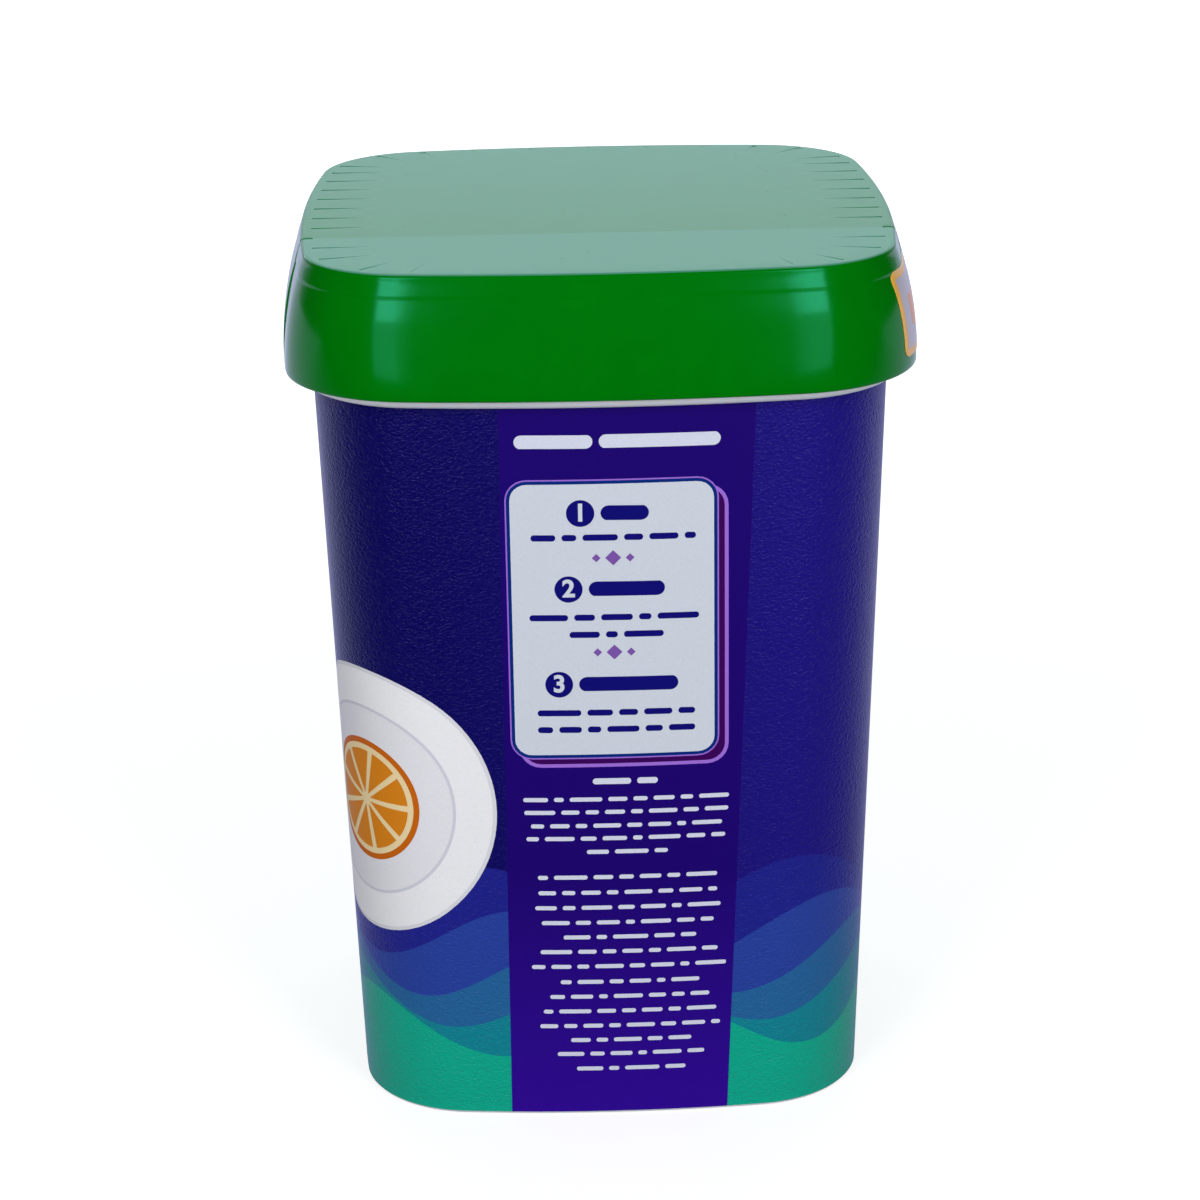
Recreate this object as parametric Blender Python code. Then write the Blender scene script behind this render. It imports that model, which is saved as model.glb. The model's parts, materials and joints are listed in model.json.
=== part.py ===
"""Dishwasher tablet tub: a tapered, rounded-square bucket with a green flip-top lid.

The tub is one thin-walled moulding. The lid is moulded flat in one piece and split here at its living hinge
into the rear cover, which clamps over the tub's neck, and the flip lid, which turns on the hinge line.
+Z is up, the rear cover is at -Y, and the origin is the middle of the foot on the ground.
"""
import math

import bmesh
import bpy
from mathutils import Matrix, Vector

MM = 0.001

# Tub wall: full widths are measured over the middle of opposite sides
FOOT_WIDTH = 136.6 * MM
DRAFT_DEG = 1.86
TUB_WALL = 1.2 * MM
TUB_SIDE_RADIUS = 380 * MM
FOOT_CORNER = 30 * MM
SHOULDER_CORNER = 27.5 * MM
SHOULDER_HEIGHT = 196.4 * MM

# Foot: a standing ring round a raised base
FOOT_EDGE = 1.2 * MM
FOOT_RING = 2.0 * MM
BASE_RECESS = 2.4 * MM
BASE_THICKNESS = 1.6 * MM
FLOOR_FILLET = 5.0 * MM
GATE_WIDTH = 9.0 * MM
GATE_DEPTH = 0.5 * MM

# Collar under the lid's edge, and the neck that the lid fits over
COLLAR_REACH = 3.6 * MM
COLLAR_FLARE = 2.8 * MM
COLLAR_HEIGHT = 5.0 * MM
COLLAR_BEVEL = 0.6 * MM
NECK_HEIGHT = 31.9 * MM
BEAD_REACH = 0.8 * MM
BEAD_DROP = 8.4 * MM
BEAD_SLOPE = 1.4 * MM
BEAD_LAND = 0.9 * MM

# Lid
LID_OVERHANG = 7.1 * MM
LID_WALL = 1.4 * MM
LID_FLARE = 5.9 * MM
LID_SIDE_RADIUS = 450 * MM
LID_EDGE_CORNER = 34.5 * MM
LID_TOP_CORNER = 28 * MM
LID_TOP_EDGE = 1.3 * MM
LID_HEIGHT = 30.4 * MM
LID_SEAT_GAP = 0.3 * MM

# Living hinge, the slots at its ends and the seams down the skirt
HINGE_FROM_REAR = 48.86 * MM
HINGE_GAP = 0.3 * MM
HINGE_WEB = 0.4 * MM
HINGE_NOTCH = 1.1 * MM
SEAM_GAP = 0.6 * MM
SLOT_LENGTH = 4.0 * MM

# Pleats pressed into the top: square to its edge along the sides, fanned in the corners. A corner pleat
# has its place on the corner's arc and its lean in degrees, and its length as a share of that arc's radius
SIDE_PLEAT_PITCH = 11.5 * MM
END_PLEAT_PITCH = 16.3 * MM
PLEAT_LENGTH = 16.0 * MM
PLEAT_SETBACK = 0.6 * MM
PLEAT_WIDTH = 1.9 * MM
PLEAT_STEEP = 0.4 * MM
PLEAT_DEPTH = 0.45 * MM
PLEAT_RISE = 0.05 * MM
CORNER_PLEATS = ((22.5, 12.0), (45.0, 45.0), (67.5, 78.0))
CORNER_PLEAT_SHARE = 0.6

# Sealing rings that hang from the lid into the mouth
RING_CLEARANCE = 0.5 * MM
RING_WALL = 1.2 * MM
RING_DEPTH = 6.0 * MM
RING_DRAFT = 0.4 * MM
RING_TO_HINGE = 5.0 * MM

# Lugs that hold the rear cover under the neck's bead
LUG_WIDTH = 12.0 * MM
LUG_HEIGHT = 3.0 * MM
LUG_CLEARANCE = 0.3 * MM
LUG_SPACING = 38.0 * MM

# Thumb lip at the front of the flip lid
THUMB_WIDTH = 36.0 * MM
THUMB_REACH = 2.4 * MM
THUMB_THICKNESS = 1.8 * MM

# Paper sticker on the right of the rear cover's skirt
STICKER_HEIGHT = 21.5 * MM
STICKER_ABOVE_EDGE = 3.8 * MM
STICKER_START = 3.0 * MM
STICKER_LENGTH = 27.0 * MM
STICKER_GAP = 0.15 * MM
STICKER_THICKNESS = 0.15 * MM
STICKER_CORNER = 2.5 * MM

# Short edges for each side and corner of an outline, each rounded edge, and the skirt from top to bottom
SIDE_STEPS = 7
CORNER_STEPS = 8
ROUND_STEPS = 3
SKIRT_STEPS = 5
GATE_STEPS = 24
STICKER_COLUMNS = 14
STICKER_ROWS = 6

# Joined shapes and small cutters run past a face by this much
OVERLAP = 0.5 * MM

# Sizes that follow from those above
DRAFT = math.tan(math.radians(DRAFT_DEG))
SHOULDER_HALF = FOOT_WIDTH / 2 + DRAFT * SHOULDER_HEIGHT
RIM_HEIGHT = SHOULDER_HEIGHT + NECK_HEIGHT
BEAD_FOOT = RIM_HEIGHT - BEAD_DROP - 2 * BEAD_SLOPE - BEAD_LAND
LID_WIDTH = 2 * (SHOULDER_HALF + LID_OVERHANG)
LID_UNDERSIDE = RIM_HEIGHT + LID_SEAT_GAP
LID_TOP = LID_UNDERSIDE + LID_WALL
LID_EDGE = LID_TOP - LID_HEIGHT
BEYOND = LID_TOP + LID_WIDTH
HINGE_Y = HINGE_FROM_REAR - LID_WIDTH / 2
PLEAT_RUN = LID_WIDTH / 2 - LID_TOP_CORNER - 2 * PLEAT_WIDTH


def corner_centre(half, side_radius, corner_radius):
    """How far the centre of a corner arc lies from the middle, along both axes, to touch both bowed sides."""
    side_centre = half - side_radius
    reach = side_radius - corner_radius
    return (side_centre + math.sqrt(2 * reach ** 2 - side_centre ** 2)) / 2


def rounded_square(half, side_radius, corner_radius):
    """Plan outline anticlockwise from the +X side: four bowed sides joined by tangent corner arcs.

    half is the distance from the middle to the middle of a side."""
    side_centre = half - side_radius
    corner = corner_centre(half, side_radius, corner_radius)
    meet = math.atan2(corner, corner - side_centre)
    points = []
    for quarter in range(4):
        turn = Matrix.Rotation(quarter * math.pi / 2, 2)
        for step in range(SIDE_STEPS):
            angle = -meet + 2 * meet * step / SIDE_STEPS
            point = Vector((side_centre + side_radius * math.cos(angle), side_radius * math.sin(angle)))
            points.append(turn @ point)
        for step in range(CORNER_STEPS):
            angle = meet + (math.pi / 2 - 2 * meet) * step / CORNER_STEPS
            across, along = corner_radius * math.cos(angle), corner_radius * math.sin(angle)
            points.append(turn @ Vector((corner + across, corner + along)))
    return points


def quarter_round():
    """Cosine and sine at each step of a quarter turn, both ends included."""
    turns = [step * math.pi / 2 / ROUND_STEPS for step in range(ROUND_STEPS + 1)]
    return [(math.cos(turn), math.sin(turn)) for turn in turns]


def tub_outline(height, inset=0.0):
    """The tub's wall outline at a height, moved inwards by inset (outwards where it is negative)."""
    share = height / SHOULDER_HEIGHT
    corner = FOOT_CORNER + (SHOULDER_CORNER - FOOT_CORNER) * share
    half = FOOT_WIDTH / 2 + DRAFT * height
    return rounded_square(half - inset, TUB_SIDE_RADIUS - inset, corner - inset)


def neck_outline(inset=0.0):
    """The neck goes straight up from the top of the wall, so the mouth has no undercut."""
    return tub_outline(SHOULDER_HEIGHT, inset)


def skirt_inset(height):
    """How far the lid's skirt has drawn in at a height: nothing at its edge, LID_FLARE at the top."""
    return LID_FLARE * ((height - LID_EDGE) / LID_HEIGHT) ** 2


def lid_outline(height, inset=0.0):
    """The lid's outer outline at a height, moved inwards by inset."""
    share = (height - LID_EDGE) / LID_HEIGHT
    corner = LID_EDGE_CORNER + (LID_TOP_CORNER - LID_EDGE_CORNER) * share
    half = LID_WIDTH / 2 - skirt_inset(height)
    return rounded_square(half - inset, LID_SIDE_RADIUS - inset, corner - inset)


def loft(bm, rings):
    """Skins a list of (outline, height) rings in order and closes both ends."""
    loops = [[bm.verts.new((point.x, point.y, height)) for point in outline] for outline, height in rings]
    count = len(loops[0])
    for lower, upper in zip(loops, loops[1:]):
        for i in range(count):
            j = (i + 1) % count
            bm.faces.new((lower[i], lower[j], upper[j], upper[i]))
    bm.faces.new(reversed(loops[0]))
    bm.faces.new(loops[-1])


def prism(bm, polygon, start, end, place):
    """A closed bar: a flat polygon carried from start to end, with place turning (u, v, w) into a point."""
    near = [bm.verts.new(place(u, v, start)) for u, v in polygon]
    far = [bm.verts.new(place(u, v, end)) for u, v in polygon]
    count = len(polygon)
    bm.faces.new(near)
    bm.faces.new(reversed(far))
    for i in range(count):
        j = (i + 1) % count
        bm.faces.new((near[j], near[i], far[i], far[j]))


def finish_object(name, bm, material):
    """Turns the bmesh into an object with its faces pointing out."""
    bmesh.ops.recalc_face_normals(bm, faces=bm.faces)
    mesh = bpy.data.meshes.new(name)
    bm.to_mesh(mesh)
    bm.free()
    obj = bpy.data.objects.new(name, mesh)
    bpy.context.collection.objects.link(obj)
    if material is not None:
        mesh.materials.append(material)
    return obj


def cutter_object(name, bm):
    """A guide shape for a Boolean: kept out of renders and drawn as wire."""
    obj = finish_object(name, bm, None)
    obj.hide_render = True
    obj.display_type = "WIRE"
    return obj


def combine(target, other, operation):
    """Adds an exact Boolean of another object to target."""
    modifier = target.modifiers.new(operation.lower() + "_" + other.name, "BOOLEAN")
    modifier.operation = operation
    modifier.solver = "EXACT"
    modifier.object = other


def shade_round(obj, sharp_deg=32):
    """Smooth shading with the real edges kept sharp."""
    obj.data.shade_smooth()
    obj.data.set_sharp_from_angle(angle=math.radians(sharp_deg))


def moulded_plastic(name, colour, roughness):
    """A Principled material without metal."""
    material = bpy.data.materials.new(name)
    material.use_nodes = True
    shader = material.node_tree.nodes["Principled BSDF"]
    shader.inputs["Base Color"].default_value = (*colour, 1.0)
    shader.inputs["Roughness"].default_value = roughness
    shader.inputs["Metallic"].default_value = 0.0
    return material


def make_tub(material):
    """One shell of foot ring, base, wall, collar and neck, skinned from the base's underside to the floor."""
    collar_high = SHOULDER_HEIGHT + COLLAR_FLARE + COLLAR_HEIGHT
    lip = TUB_WALL / 3
    floor = BASE_RECESS + BASE_THICKNESS
    rings = [
        (tub_outline(0, FOOT_EDGE + FOOT_RING + BASE_RECESS / 2), BASE_RECESS),
        (tub_outline(0, FOOT_EDGE + FOOT_RING), 0.0),
    ]
    for across, along in quarter_round():
        height = FOOT_EDGE * (1 - across)
        rings.append((tub_outline(height, FOOT_EDGE * (1 - along)), height))
    rings.append((tub_outline(SHOULDER_HEIGHT / 2), SHOULDER_HEIGHT / 2))
    for across, along in quarter_round():
        rings.append((neck_outline(-COLLAR_REACH * along), SHOULDER_HEIGHT + COLLAR_FLARE * (1 - across)))
    rings += [
        (neck_outline(-COLLAR_REACH), collar_high),
        (neck_outline(COLLAR_BEVEL - COLLAR_REACH), collar_high + COLLAR_BEVEL),
        (neck_outline(), collar_high + COLLAR_BEVEL),
        (neck_outline(), BEAD_FOOT),
        (neck_outline(-BEAD_REACH), BEAD_FOOT + BEAD_SLOPE),
        (neck_outline(-BEAD_REACH), BEAD_FOOT + BEAD_SLOPE + BEAD_LAND),
        (neck_outline(), BEAD_FOOT + 2 * BEAD_SLOPE + BEAD_LAND),
        (neck_outline(), RIM_HEIGHT - lip),
        (neck_outline(lip), RIM_HEIGHT),
        (neck_outline(TUB_WALL - lip), RIM_HEIGHT),
        (neck_outline(TUB_WALL), RIM_HEIGHT - lip),
        (neck_outline(TUB_WALL), SHOULDER_HEIGHT),
    ]
    for across, along in quarter_round():
        height = floor + FLOOR_FILLET * (1 - along)
        rings.append((tub_outline(height, TUB_WALL + FLOOR_FILLET * (1 - across)), height))
    bm = bmesh.new()
    loft(bm, rings)
    tub = finish_object("tub", bm, material)

    gate = bmesh.new()
    bmesh.ops.create_cone(gate, cap_ends=True, segments=GATE_STEPS, radius1=GATE_WIDTH / 2,
                          radius2=GATE_WIDTH / 2, depth=2 * GATE_DEPTH,
                          matrix=Matrix.Translation((0, 0, BASE_RECESS)))
    combine(tub, cutter_object("gate_recess", gate), "DIFFERENCE")
    shade_round(tub)
    return tub


def lid_shell_rings():
    """Rings of the whole lid from the middle of its top, down the outside and back up the inside."""
    shoulder = LID_TOP - LID_TOP_EDGE
    lip = LID_WALL / 3
    rings = []
    for across, along in quarter_round():
        outline = lid_outline(shoulder, LID_TOP_EDGE * (1 - along))
        rings.append((outline, LID_TOP - LID_TOP_EDGE * (1 - across)))
    drops = [(shoulder - LID_EDGE - lip) * step / SKIRT_STEPS for step in range(1, SKIRT_STEPS + 1)]
    rings += [(lid_outline(shoulder - drop), shoulder - drop) for drop in drops]
    rings.append((lid_outline(LID_EDGE, lip), LID_EDGE))
    rings.append((lid_outline(LID_EDGE, LID_WALL - lip), LID_EDGE))
    rings += [(lid_outline(shoulder - drop, LID_WALL), shoulder - drop) for drop in reversed(drops)]
    rings.append((lid_outline(LID_UNDERSIDE, LID_WALL), LID_UNDERSIDE))
    return rings


def side_cutter(name, side):
    """Takes away all that lies past the hinge line: side is -1 to clear the rear and +1 to clear the front.

    It leaves the thin web between the slots, with a notch under it, and the wider seam down the skirt."""
    web_half = LID_WIDTH / 2 - LID_FLARE - SLOT_LENGTH
    web_face = HINGE_Y - side * HINGE_GAP / 2
    seam_face = HINGE_Y - side * SEAM_GAP / 2
    far = side * BEYOND
    web_under = LID_TOP - HINGE_WEB
    bm = bmesh.new()

    def along_x(u, v, w):
        return Vector((w, u, v))

    notch_face = web_face - side * HINGE_NOTCH
    notch = [(far, 2 * BEYOND), (web_face, 2 * BEYOND), (web_face, web_under), (notch_face, LID_UNDERSIDE),
             (notch_face, -BEYOND), (far, -BEYOND)]
    prism(bm, notch, -web_half, web_half, along_x)
    middle = cutter_object(name + "_web", bm)
    bm = bmesh.new()
    seam = [(far, -BEYOND), (seam_face, -BEYOND), (seam_face, 2 * BEYOND), (far, 2 * BEYOND)]
    prism(bm, seam, -BEYOND, -web_half, along_x)
    prism(bm, seam, web_half, BEYOND, along_x)
    return middle, cutter_object(name + "_seam", bm)


def edge_point(outline, direction):
    """Where the ray from the middle in this plan direction crosses the outline."""
    for first, second in zip(outline, outline[1:] + outline[:1]):
        before = direction.x * first.y - direction.y * first.x
        after = direction.x * second.y - direction.y * second.x
        if before <= 0 < after and first.dot(direction) > 0:
            return first.lerp(second, before / (before - after))
    return outline[0]


def pleat_places():
    """Start on the top's edge, way inwards and length for each pleat.

    The side pleats are counted from the hinge line, whose slots take one place on each side."""
    shoulder = LID_TOP - LID_TOP_EDGE
    outline = lid_outline(shoulder, LID_TOP_EDGE)
    half = max(point.x for point in outline)
    radius = LID_TOP_CORNER - LID_TOP_EDGE
    centre = corner_centre(half, LID_SIDE_RADIUS - LID_TOP_EDGE, radius)
    places = []
    for side in (-1, 1):
        count = int((PLEAT_RUN - HINGE_Y) / SIDE_PLEAT_PITCH)
        for number in range(-count, count + 1):
            y = HINGE_Y + number * SIDE_PLEAT_PITCH
            if number and abs(y) < PLEAT_RUN:
                start = edge_point(outline, Vector((side * half, y)))
                places.append((start, Vector((-side, 0)), PLEAT_LENGTH))
        count = int(PLEAT_RUN / END_PLEAT_PITCH)
        for number in range(-count, count + 1):
            start = edge_point(outline, Vector((number * END_PLEAT_PITCH, side * half)))
            places.append((start, Vector((0, -side)), PLEAT_LENGTH))
        for end in (-1, 1):
            for place, lean in CORNER_PLEATS:
                place, lean = math.radians(place), math.radians(lean)
                start = Vector((centre + radius * math.cos(place), centre + radius * math.sin(place)))
                inward = Vector((-side * math.cos(lean), -end * math.sin(lean)))
                places.append((Vector((side * start.x, end * start.y)), inward, radius * CORNER_PLEAT_SHARE))
    return places


def cut_pleats(lid, side):
    """Presses shallow wedges into the top: each is deepest at the edge and runs out inwards.

    One flank is steep, and the other is a gentle ramp on the side of the rear cover."""
    bm = bmesh.new()
    high = LID_TOP + PLEAT_RISE
    past = 1 + PLEAT_RISE / PLEAT_DEPTH
    for point, inward, length in pleat_places():
        outer = point + inward * PLEAT_SETBACK
        if side * (outer.y - HINGE_Y) < 0:
            continue
        ramp = Vector((-inward.y, inward.x))
        if ramp.y > 0 or (inward.x == 0 and ramp.x > 0):
            ramp = -ramp
        low = bm.verts.new((*outer, LID_TOP - PLEAT_DEPTH))
        gentle = bm.verts.new((*(outer + ramp * PLEAT_WIDTH * past), high))
        steep = bm.verts.new((*(outer - ramp * PLEAT_STEEP * past), high))
        tip = bm.verts.new((*(outer + inward * length * past), high))
        bm.faces.new((low, gentle, steep))
        bm.faces.new((low, tip, gentle))
        bm.faces.new((low, steep, tip))
        bm.faces.new((gentle, tip, steep))
    combine(lid, cutter_object(lid.name + "_pleats", bm), "DIFFERENCE")


def mouth_side(outline, limit, side):
    """The part of a convex outline on one side of the line y = limit."""
    kept = []
    for first, second in zip(outline, outline[1:] + outline[:1]):
        inside_first = side * (first.y - limit) >= 0
        inside_second = side * (second.y - limit) >= 0
        if inside_first:
            kept.append(first)
        if inside_first != inside_second:
            share = (limit - first.y) / (second.y - first.y)
            kept.append(first.lerp(second, share))
    return kept


def sealing_ring(name, side):
    """A D-shaped ring that hangs into the mouth, closed by a straight wall beside the hinge."""
    limit = HINGE_Y + side * RING_TO_HINGE
    clear = TUB_WALL + RING_CLEARANCE
    low, high = LID_UNDERSIDE - RING_DEPTH, LID_UNDERSIDE + OVERLAP
    bodies = []
    for label, inset, extra in (("ring", 0.0, 0.0), ("hollow", RING_WALL, OVERLAP)):
        bm = bmesh.new()
        lower = mouth_side(neck_outline(clear + inset + RING_DRAFT), limit + side * inset, side)
        upper = mouth_side(neck_outline(clear + inset), limit + side * inset, side)
        bottom = [bm.verts.new((*point, low - extra)) for point in lower]
        top = [bm.verts.new((*point, high + extra)) for point in upper]
        bm.faces.new(bottom)
        bm.faces.new(reversed(top))
        for i in range(len(bottom)):
            j = (i + 1) % len(bottom)
            bm.faces.new((bottom[j], bottom[i], top[i], top[j]))
        bodies.append(cutter_object(name + "_" + label, bm))
    combine(bodies[0], bodies[1], "DIFFERENCE")
    return bodies[0]


def lid_part(name, material, side):
    """One side of the lid: the whole shell, cut at the hinge, pleated, with its sealing ring."""
    bm = bmesh.new()
    loft(bm, lid_shell_rings())
    part = finish_object(name, bm, material)
    for cutter in side_cutter(name + "_past_hinge", -side):
        combine(part, cutter, "DIFFERENCE")
    cut_pleats(part, side)
    combine(part, sealing_ring(name + "_seal", side), "UNION")
    return part


def side_bow(radius, offset):
    """How far a bowed side has fallen back at this distance from its middle."""
    return radius - math.sqrt(radius ** 2 - offset ** 2)


def lug_profile(offset):
    """Section of a lug from the neck out into the skirt's wall, with a gusset under it."""
    high = BEAD_FOOT - LUG_CLEARANCE
    low = high - LUG_HEIGHT
    nearest = max(abs(offset) - LUG_WIDTH / 2, 0.0)
    furthest = abs(offset) + LUG_WIDTH / 2
    inner = SHOULDER_HALF - side_bow(TUB_SIDE_RADIUS, nearest) + LUG_CLEARANCE
    skirt = LID_WIDTH / 2 - LID_WALL / 2 - side_bow(LID_SIDE_RADIUS, furthest)
    outer = skirt - skirt_inset(high)
    return [(inner, high), (outer, high), (outer, low - LUG_HEIGHT), (inner, low)]


def make_rear_cover(material):
    """Stays on the tub: lugs inside its skirt reach under the neck's bead."""
    cover = lid_part("rear_cover", material, -1)
    bm = bmesh.new()

    def behind(u, v, w):
        return Vector((w, -u, v))

    for offset in (-LUG_SPACING, 0.0, LUG_SPACING):
        prism(bm, lug_profile(offset), offset - LUG_WIDTH / 2, offset + LUG_WIDTH / 2, behind)
    combine(cover, cutter_object("rear_cover_lugs", bm), "UNION")
    shade_round(cover)
    return cover


def make_flip_lid(material):
    """Turns up on the hinge: a thumb lip stands out at the front of its skirt."""
    lid = lid_part("flip_lid", material, 1)
    front = LID_WIDTH / 2
    back = front - LID_WALL / 2
    half = THUMB_WIDTH / 2
    right = [(half + THUMB_REACH, back), (half + THUMB_REACH / 2, front + THUMB_REACH / 2),
             (half, front + THUMB_REACH)]
    left = [(-x, y) for x, y in reversed(right)]
    low = LID_EDGE + LID_WALL / 3
    bm = bmesh.new()
    prism(bm, right + left, low, low + THUMB_THICKNESS, lambda u, v, w: Vector((u, v, w)))
    combine(lid, cutter_object("flip_lid_thumb_lip", bm), "UNION")
    # The origin goes to the middle of the hinge line, with the shape left in place
    hinge = Vector((0, HINGE_Y, LID_TOP))
    lid.data.transform(Matrix.Translation(-hinge))
    lid.location = hinge
    shade_round(lid)
    return lid


def sticker_path(height, lift):
    """The skirt's outline at a height, clockwise from the sticker's start towards the rear corner."""
    outline = lid_outline(height, -lift)
    clockwise = outline[SIDE_STEPS::-1] + outline[:SIDE_STEPS:-1]
    start_y = HINGE_Y - STICKER_START
    number = next(i for i, point in enumerate(clockwise) if point.y < start_y)
    first, second = clockwise[number - 1], clockwise[number]
    start = first.lerp(second, (first.y - start_y) / (first.y - second.y))
    return [start] + clockwise[number:]


def walk(path, distance):
    """The point this far along a path."""
    for first, second in zip(path, path[1:]):
        length = (second - first).length
        if distance <= length:
            return first.lerp(second, distance / length)
        distance -= length
    return path[-1]


def sticker_trim(distance):
    """How far the sticker's top and bottom draw in at this distance from its start, for its round corners."""
    end = min(distance, STICKER_LENGTH - distance, STICKER_CORNER)
    return STICKER_CORNER - math.sqrt(STICKER_CORNER ** 2 - (STICKER_CORNER - end) ** 2)


def make_side_sticker(material):
    """A thin rounded sheet that follows the skirt's right side from just behind the seam into the corner."""
    foot = LID_EDGE + STICKER_ABOVE_EDGE
    bm = bmesh.new()
    sheets = []
    for lift in (STICKER_GAP, STICKER_GAP + STICKER_THICKNESS):
        sheet = []
        for column in range(STICKER_COLUMNS + 1):
            # Columns stand closer together towards both ends, where the corners are round
            distance = STICKER_LENGTH * (1 - math.cos(math.pi * column / STICKER_COLUMNS)) / 2
            trim = sticker_trim(distance)
            verts = []
            for row in range(STICKER_ROWS + 1):
                height = foot + trim + (STICKER_HEIGHT - 2 * trim) * row / STICKER_ROWS
                verts.append(bm.verts.new((*walk(sticker_path(height, lift), distance), height)))
            sheet.append(verts)
        sheets.append(sheet)
    inner, outer = sheets
    for left, right in zip(range(STICKER_COLUMNS), range(1, STICKER_COLUMNS + 1)):
        for low, high in zip(range(STICKER_ROWS), range(1, STICKER_ROWS + 1)):
            for sheet in sheets:
                bm.faces.new((sheet[left][low], sheet[right][low], sheet[right][high], sheet[left][high]))
        for row in (0, STICKER_ROWS):
            bm.faces.new((inner[left][row], inner[right][row], outer[right][row], outer[left][row]))
    for low, high in zip(range(STICKER_ROWS), range(1, STICKER_ROWS + 1)):
        for column in (0, STICKER_COLUMNS):
            bm.faces.new((inner[column][low], inner[column][high], outer[column][high], outer[column][low]))
    sticker = finish_object("side_sticker", bm, material)
    shade_round(sticker)
    return sticker


def build():
    """Clears the scene and makes every piece."""
    for obj in list(bpy.data.objects):
        bpy.data.objects.remove(obj, do_unlink=True)
    white = moulded_plastic("white_polypropylene", (0.80, 0.80, 0.82), 0.45)
    green = moulded_plastic("green_polypropylene", (0.0, 0.17, 0.012), 0.38)
    paper = moulded_plastic("sticker_paper", (0.92, 0.60, 0.11), 0.55)
    make_tub(white)
    make_rear_cover(green)
    make_flip_lid(green)
    make_side_sticker(paper)


build()
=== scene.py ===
import json
import math

import bmesh
import bpy
from mathutils import Matrix, Vector


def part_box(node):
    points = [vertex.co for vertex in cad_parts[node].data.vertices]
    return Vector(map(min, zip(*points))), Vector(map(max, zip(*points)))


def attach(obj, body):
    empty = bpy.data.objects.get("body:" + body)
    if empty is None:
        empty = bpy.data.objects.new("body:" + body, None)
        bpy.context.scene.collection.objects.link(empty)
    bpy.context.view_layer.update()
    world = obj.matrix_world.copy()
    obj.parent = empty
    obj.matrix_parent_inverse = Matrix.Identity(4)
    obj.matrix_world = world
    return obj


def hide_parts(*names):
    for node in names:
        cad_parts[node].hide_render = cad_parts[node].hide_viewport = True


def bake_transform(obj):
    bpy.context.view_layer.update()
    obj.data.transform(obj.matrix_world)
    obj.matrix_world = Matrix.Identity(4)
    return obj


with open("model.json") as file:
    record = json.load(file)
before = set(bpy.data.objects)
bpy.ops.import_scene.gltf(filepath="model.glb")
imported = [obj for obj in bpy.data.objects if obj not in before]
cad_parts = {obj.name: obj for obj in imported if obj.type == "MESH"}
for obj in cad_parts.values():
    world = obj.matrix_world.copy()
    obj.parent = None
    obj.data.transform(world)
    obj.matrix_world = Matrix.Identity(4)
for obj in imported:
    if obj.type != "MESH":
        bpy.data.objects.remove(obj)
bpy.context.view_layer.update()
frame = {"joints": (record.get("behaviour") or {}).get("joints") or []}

# The tub. A thin tapered bucket, injection moulded in white polypropylene with a satin skin. The collar under
# the lid and the neck above it stay bare, and the wall below them carries the printed film.
MM = 0.001
RIM_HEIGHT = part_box("tub")[1].z
FOOT_HALF = 68.3 * MM
DRAFT = math.tan(math.radians(1.86))
TUB_WALL = 1.2 * MM
TUB_SIDE_RADIUS = 380 * MM
FOOT_CORNER = 30 * MM
SHOULDER_CORNER = 27.5 * MM
SHOULDER = 196.4 * MM
FOOT_EDGE = 1.2 * MM
FOOT_RING = 2.0 * MM
BASE_RECESS = 2.4 * MM
BASE_THICKNESS = 1.6 * MM
FLOOR_FILLET = 5.0 * MM
GATE_RADIUS = 4.5 * MM
GATE_DEPTH = 0.5 * MM
COLLAR_REACH = 3.6 * MM
COLLAR_FLARE = 2.8 * MM
COLLAR_HEIGHT = 5.0 * MM
COLLAR_BEVEL = 0.6 * MM
BEAD_REACH = 0.8 * MM
BEAD_SLOPE = 1.4 * MM
BEAD_LAND = 0.9 * MM
BEAD_FOOT = RIM_HEIGHT - 8.4 * MM - 2 * BEAD_SLOPE - BEAD_LAND
SIDE_STEPS = 20
CORNER_STEPS = 16
WHITE_FLOW = ("#E2E5EE", "#ECEFF6")
PLASTIC_IOR = 1.49


def corner_arc(half, side_radius, corner_radius):
    """Centre of a corner arc along both axes, and the angle at which it takes over from the bowed side."""
    side_centre = half - side_radius
    reach = side_radius - corner_radius
    corner = (side_centre + math.sqrt(2 * reach ** 2 - side_centre ** 2)) / 2
    return corner, math.atan2(corner, corner - side_centre)


def rounded_square(half, side_radius, corner_radius):
    """Plan outline of four bowed sides and four corner arcs, anticlockwise from the right-hand side."""
    corner, meet = corner_arc(half, side_radius, corner_radius)
    quarter = []
    for step in range(SIDE_STEPS):
        angle = meet * (2 * step / SIDE_STEPS - 1)
        quarter.append(Vector((half - side_radius * (1 - math.cos(angle)), side_radius * math.sin(angle))))
    for step in range(CORNER_STEPS):
        angle = meet + (math.pi / 2 - 2 * meet) * step / CORNER_STEPS
        across, along = math.cos(angle), math.sin(angle)
        quarter.append(Vector((corner + corner_radius * across, corner + corner_radius * along)))
    return [Matrix.Rotation(turn * math.pi / 2, 2) @ point for turn in range(4) for point in quarter]


def quarter_round(steps=5):
    """Cosine and sine at each step of a quarter turn, both ends included."""
    turns = [step * math.pi / 2 / steps for step in range(steps + 1)]
    return [(math.cos(turn), math.sin(turn)) for turn in turns]


def tub_half(height):
    return FOOT_HALF + DRAFT * height


def tub_corner(height):
    return FOOT_CORNER + (SHOULDER_CORNER - FOOT_CORNER) * height / SHOULDER


def tub_outline(height, inset=0.0):
    """The wall's outline at a height, moved inwards by inset."""
    return rounded_square(tub_half(height) - inset, TUB_SIDE_RADIUS - inset, tub_corner(height) - inset)


def neck_outline(inset=0.0):
    return tub_outline(SHOULDER, inset)


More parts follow.
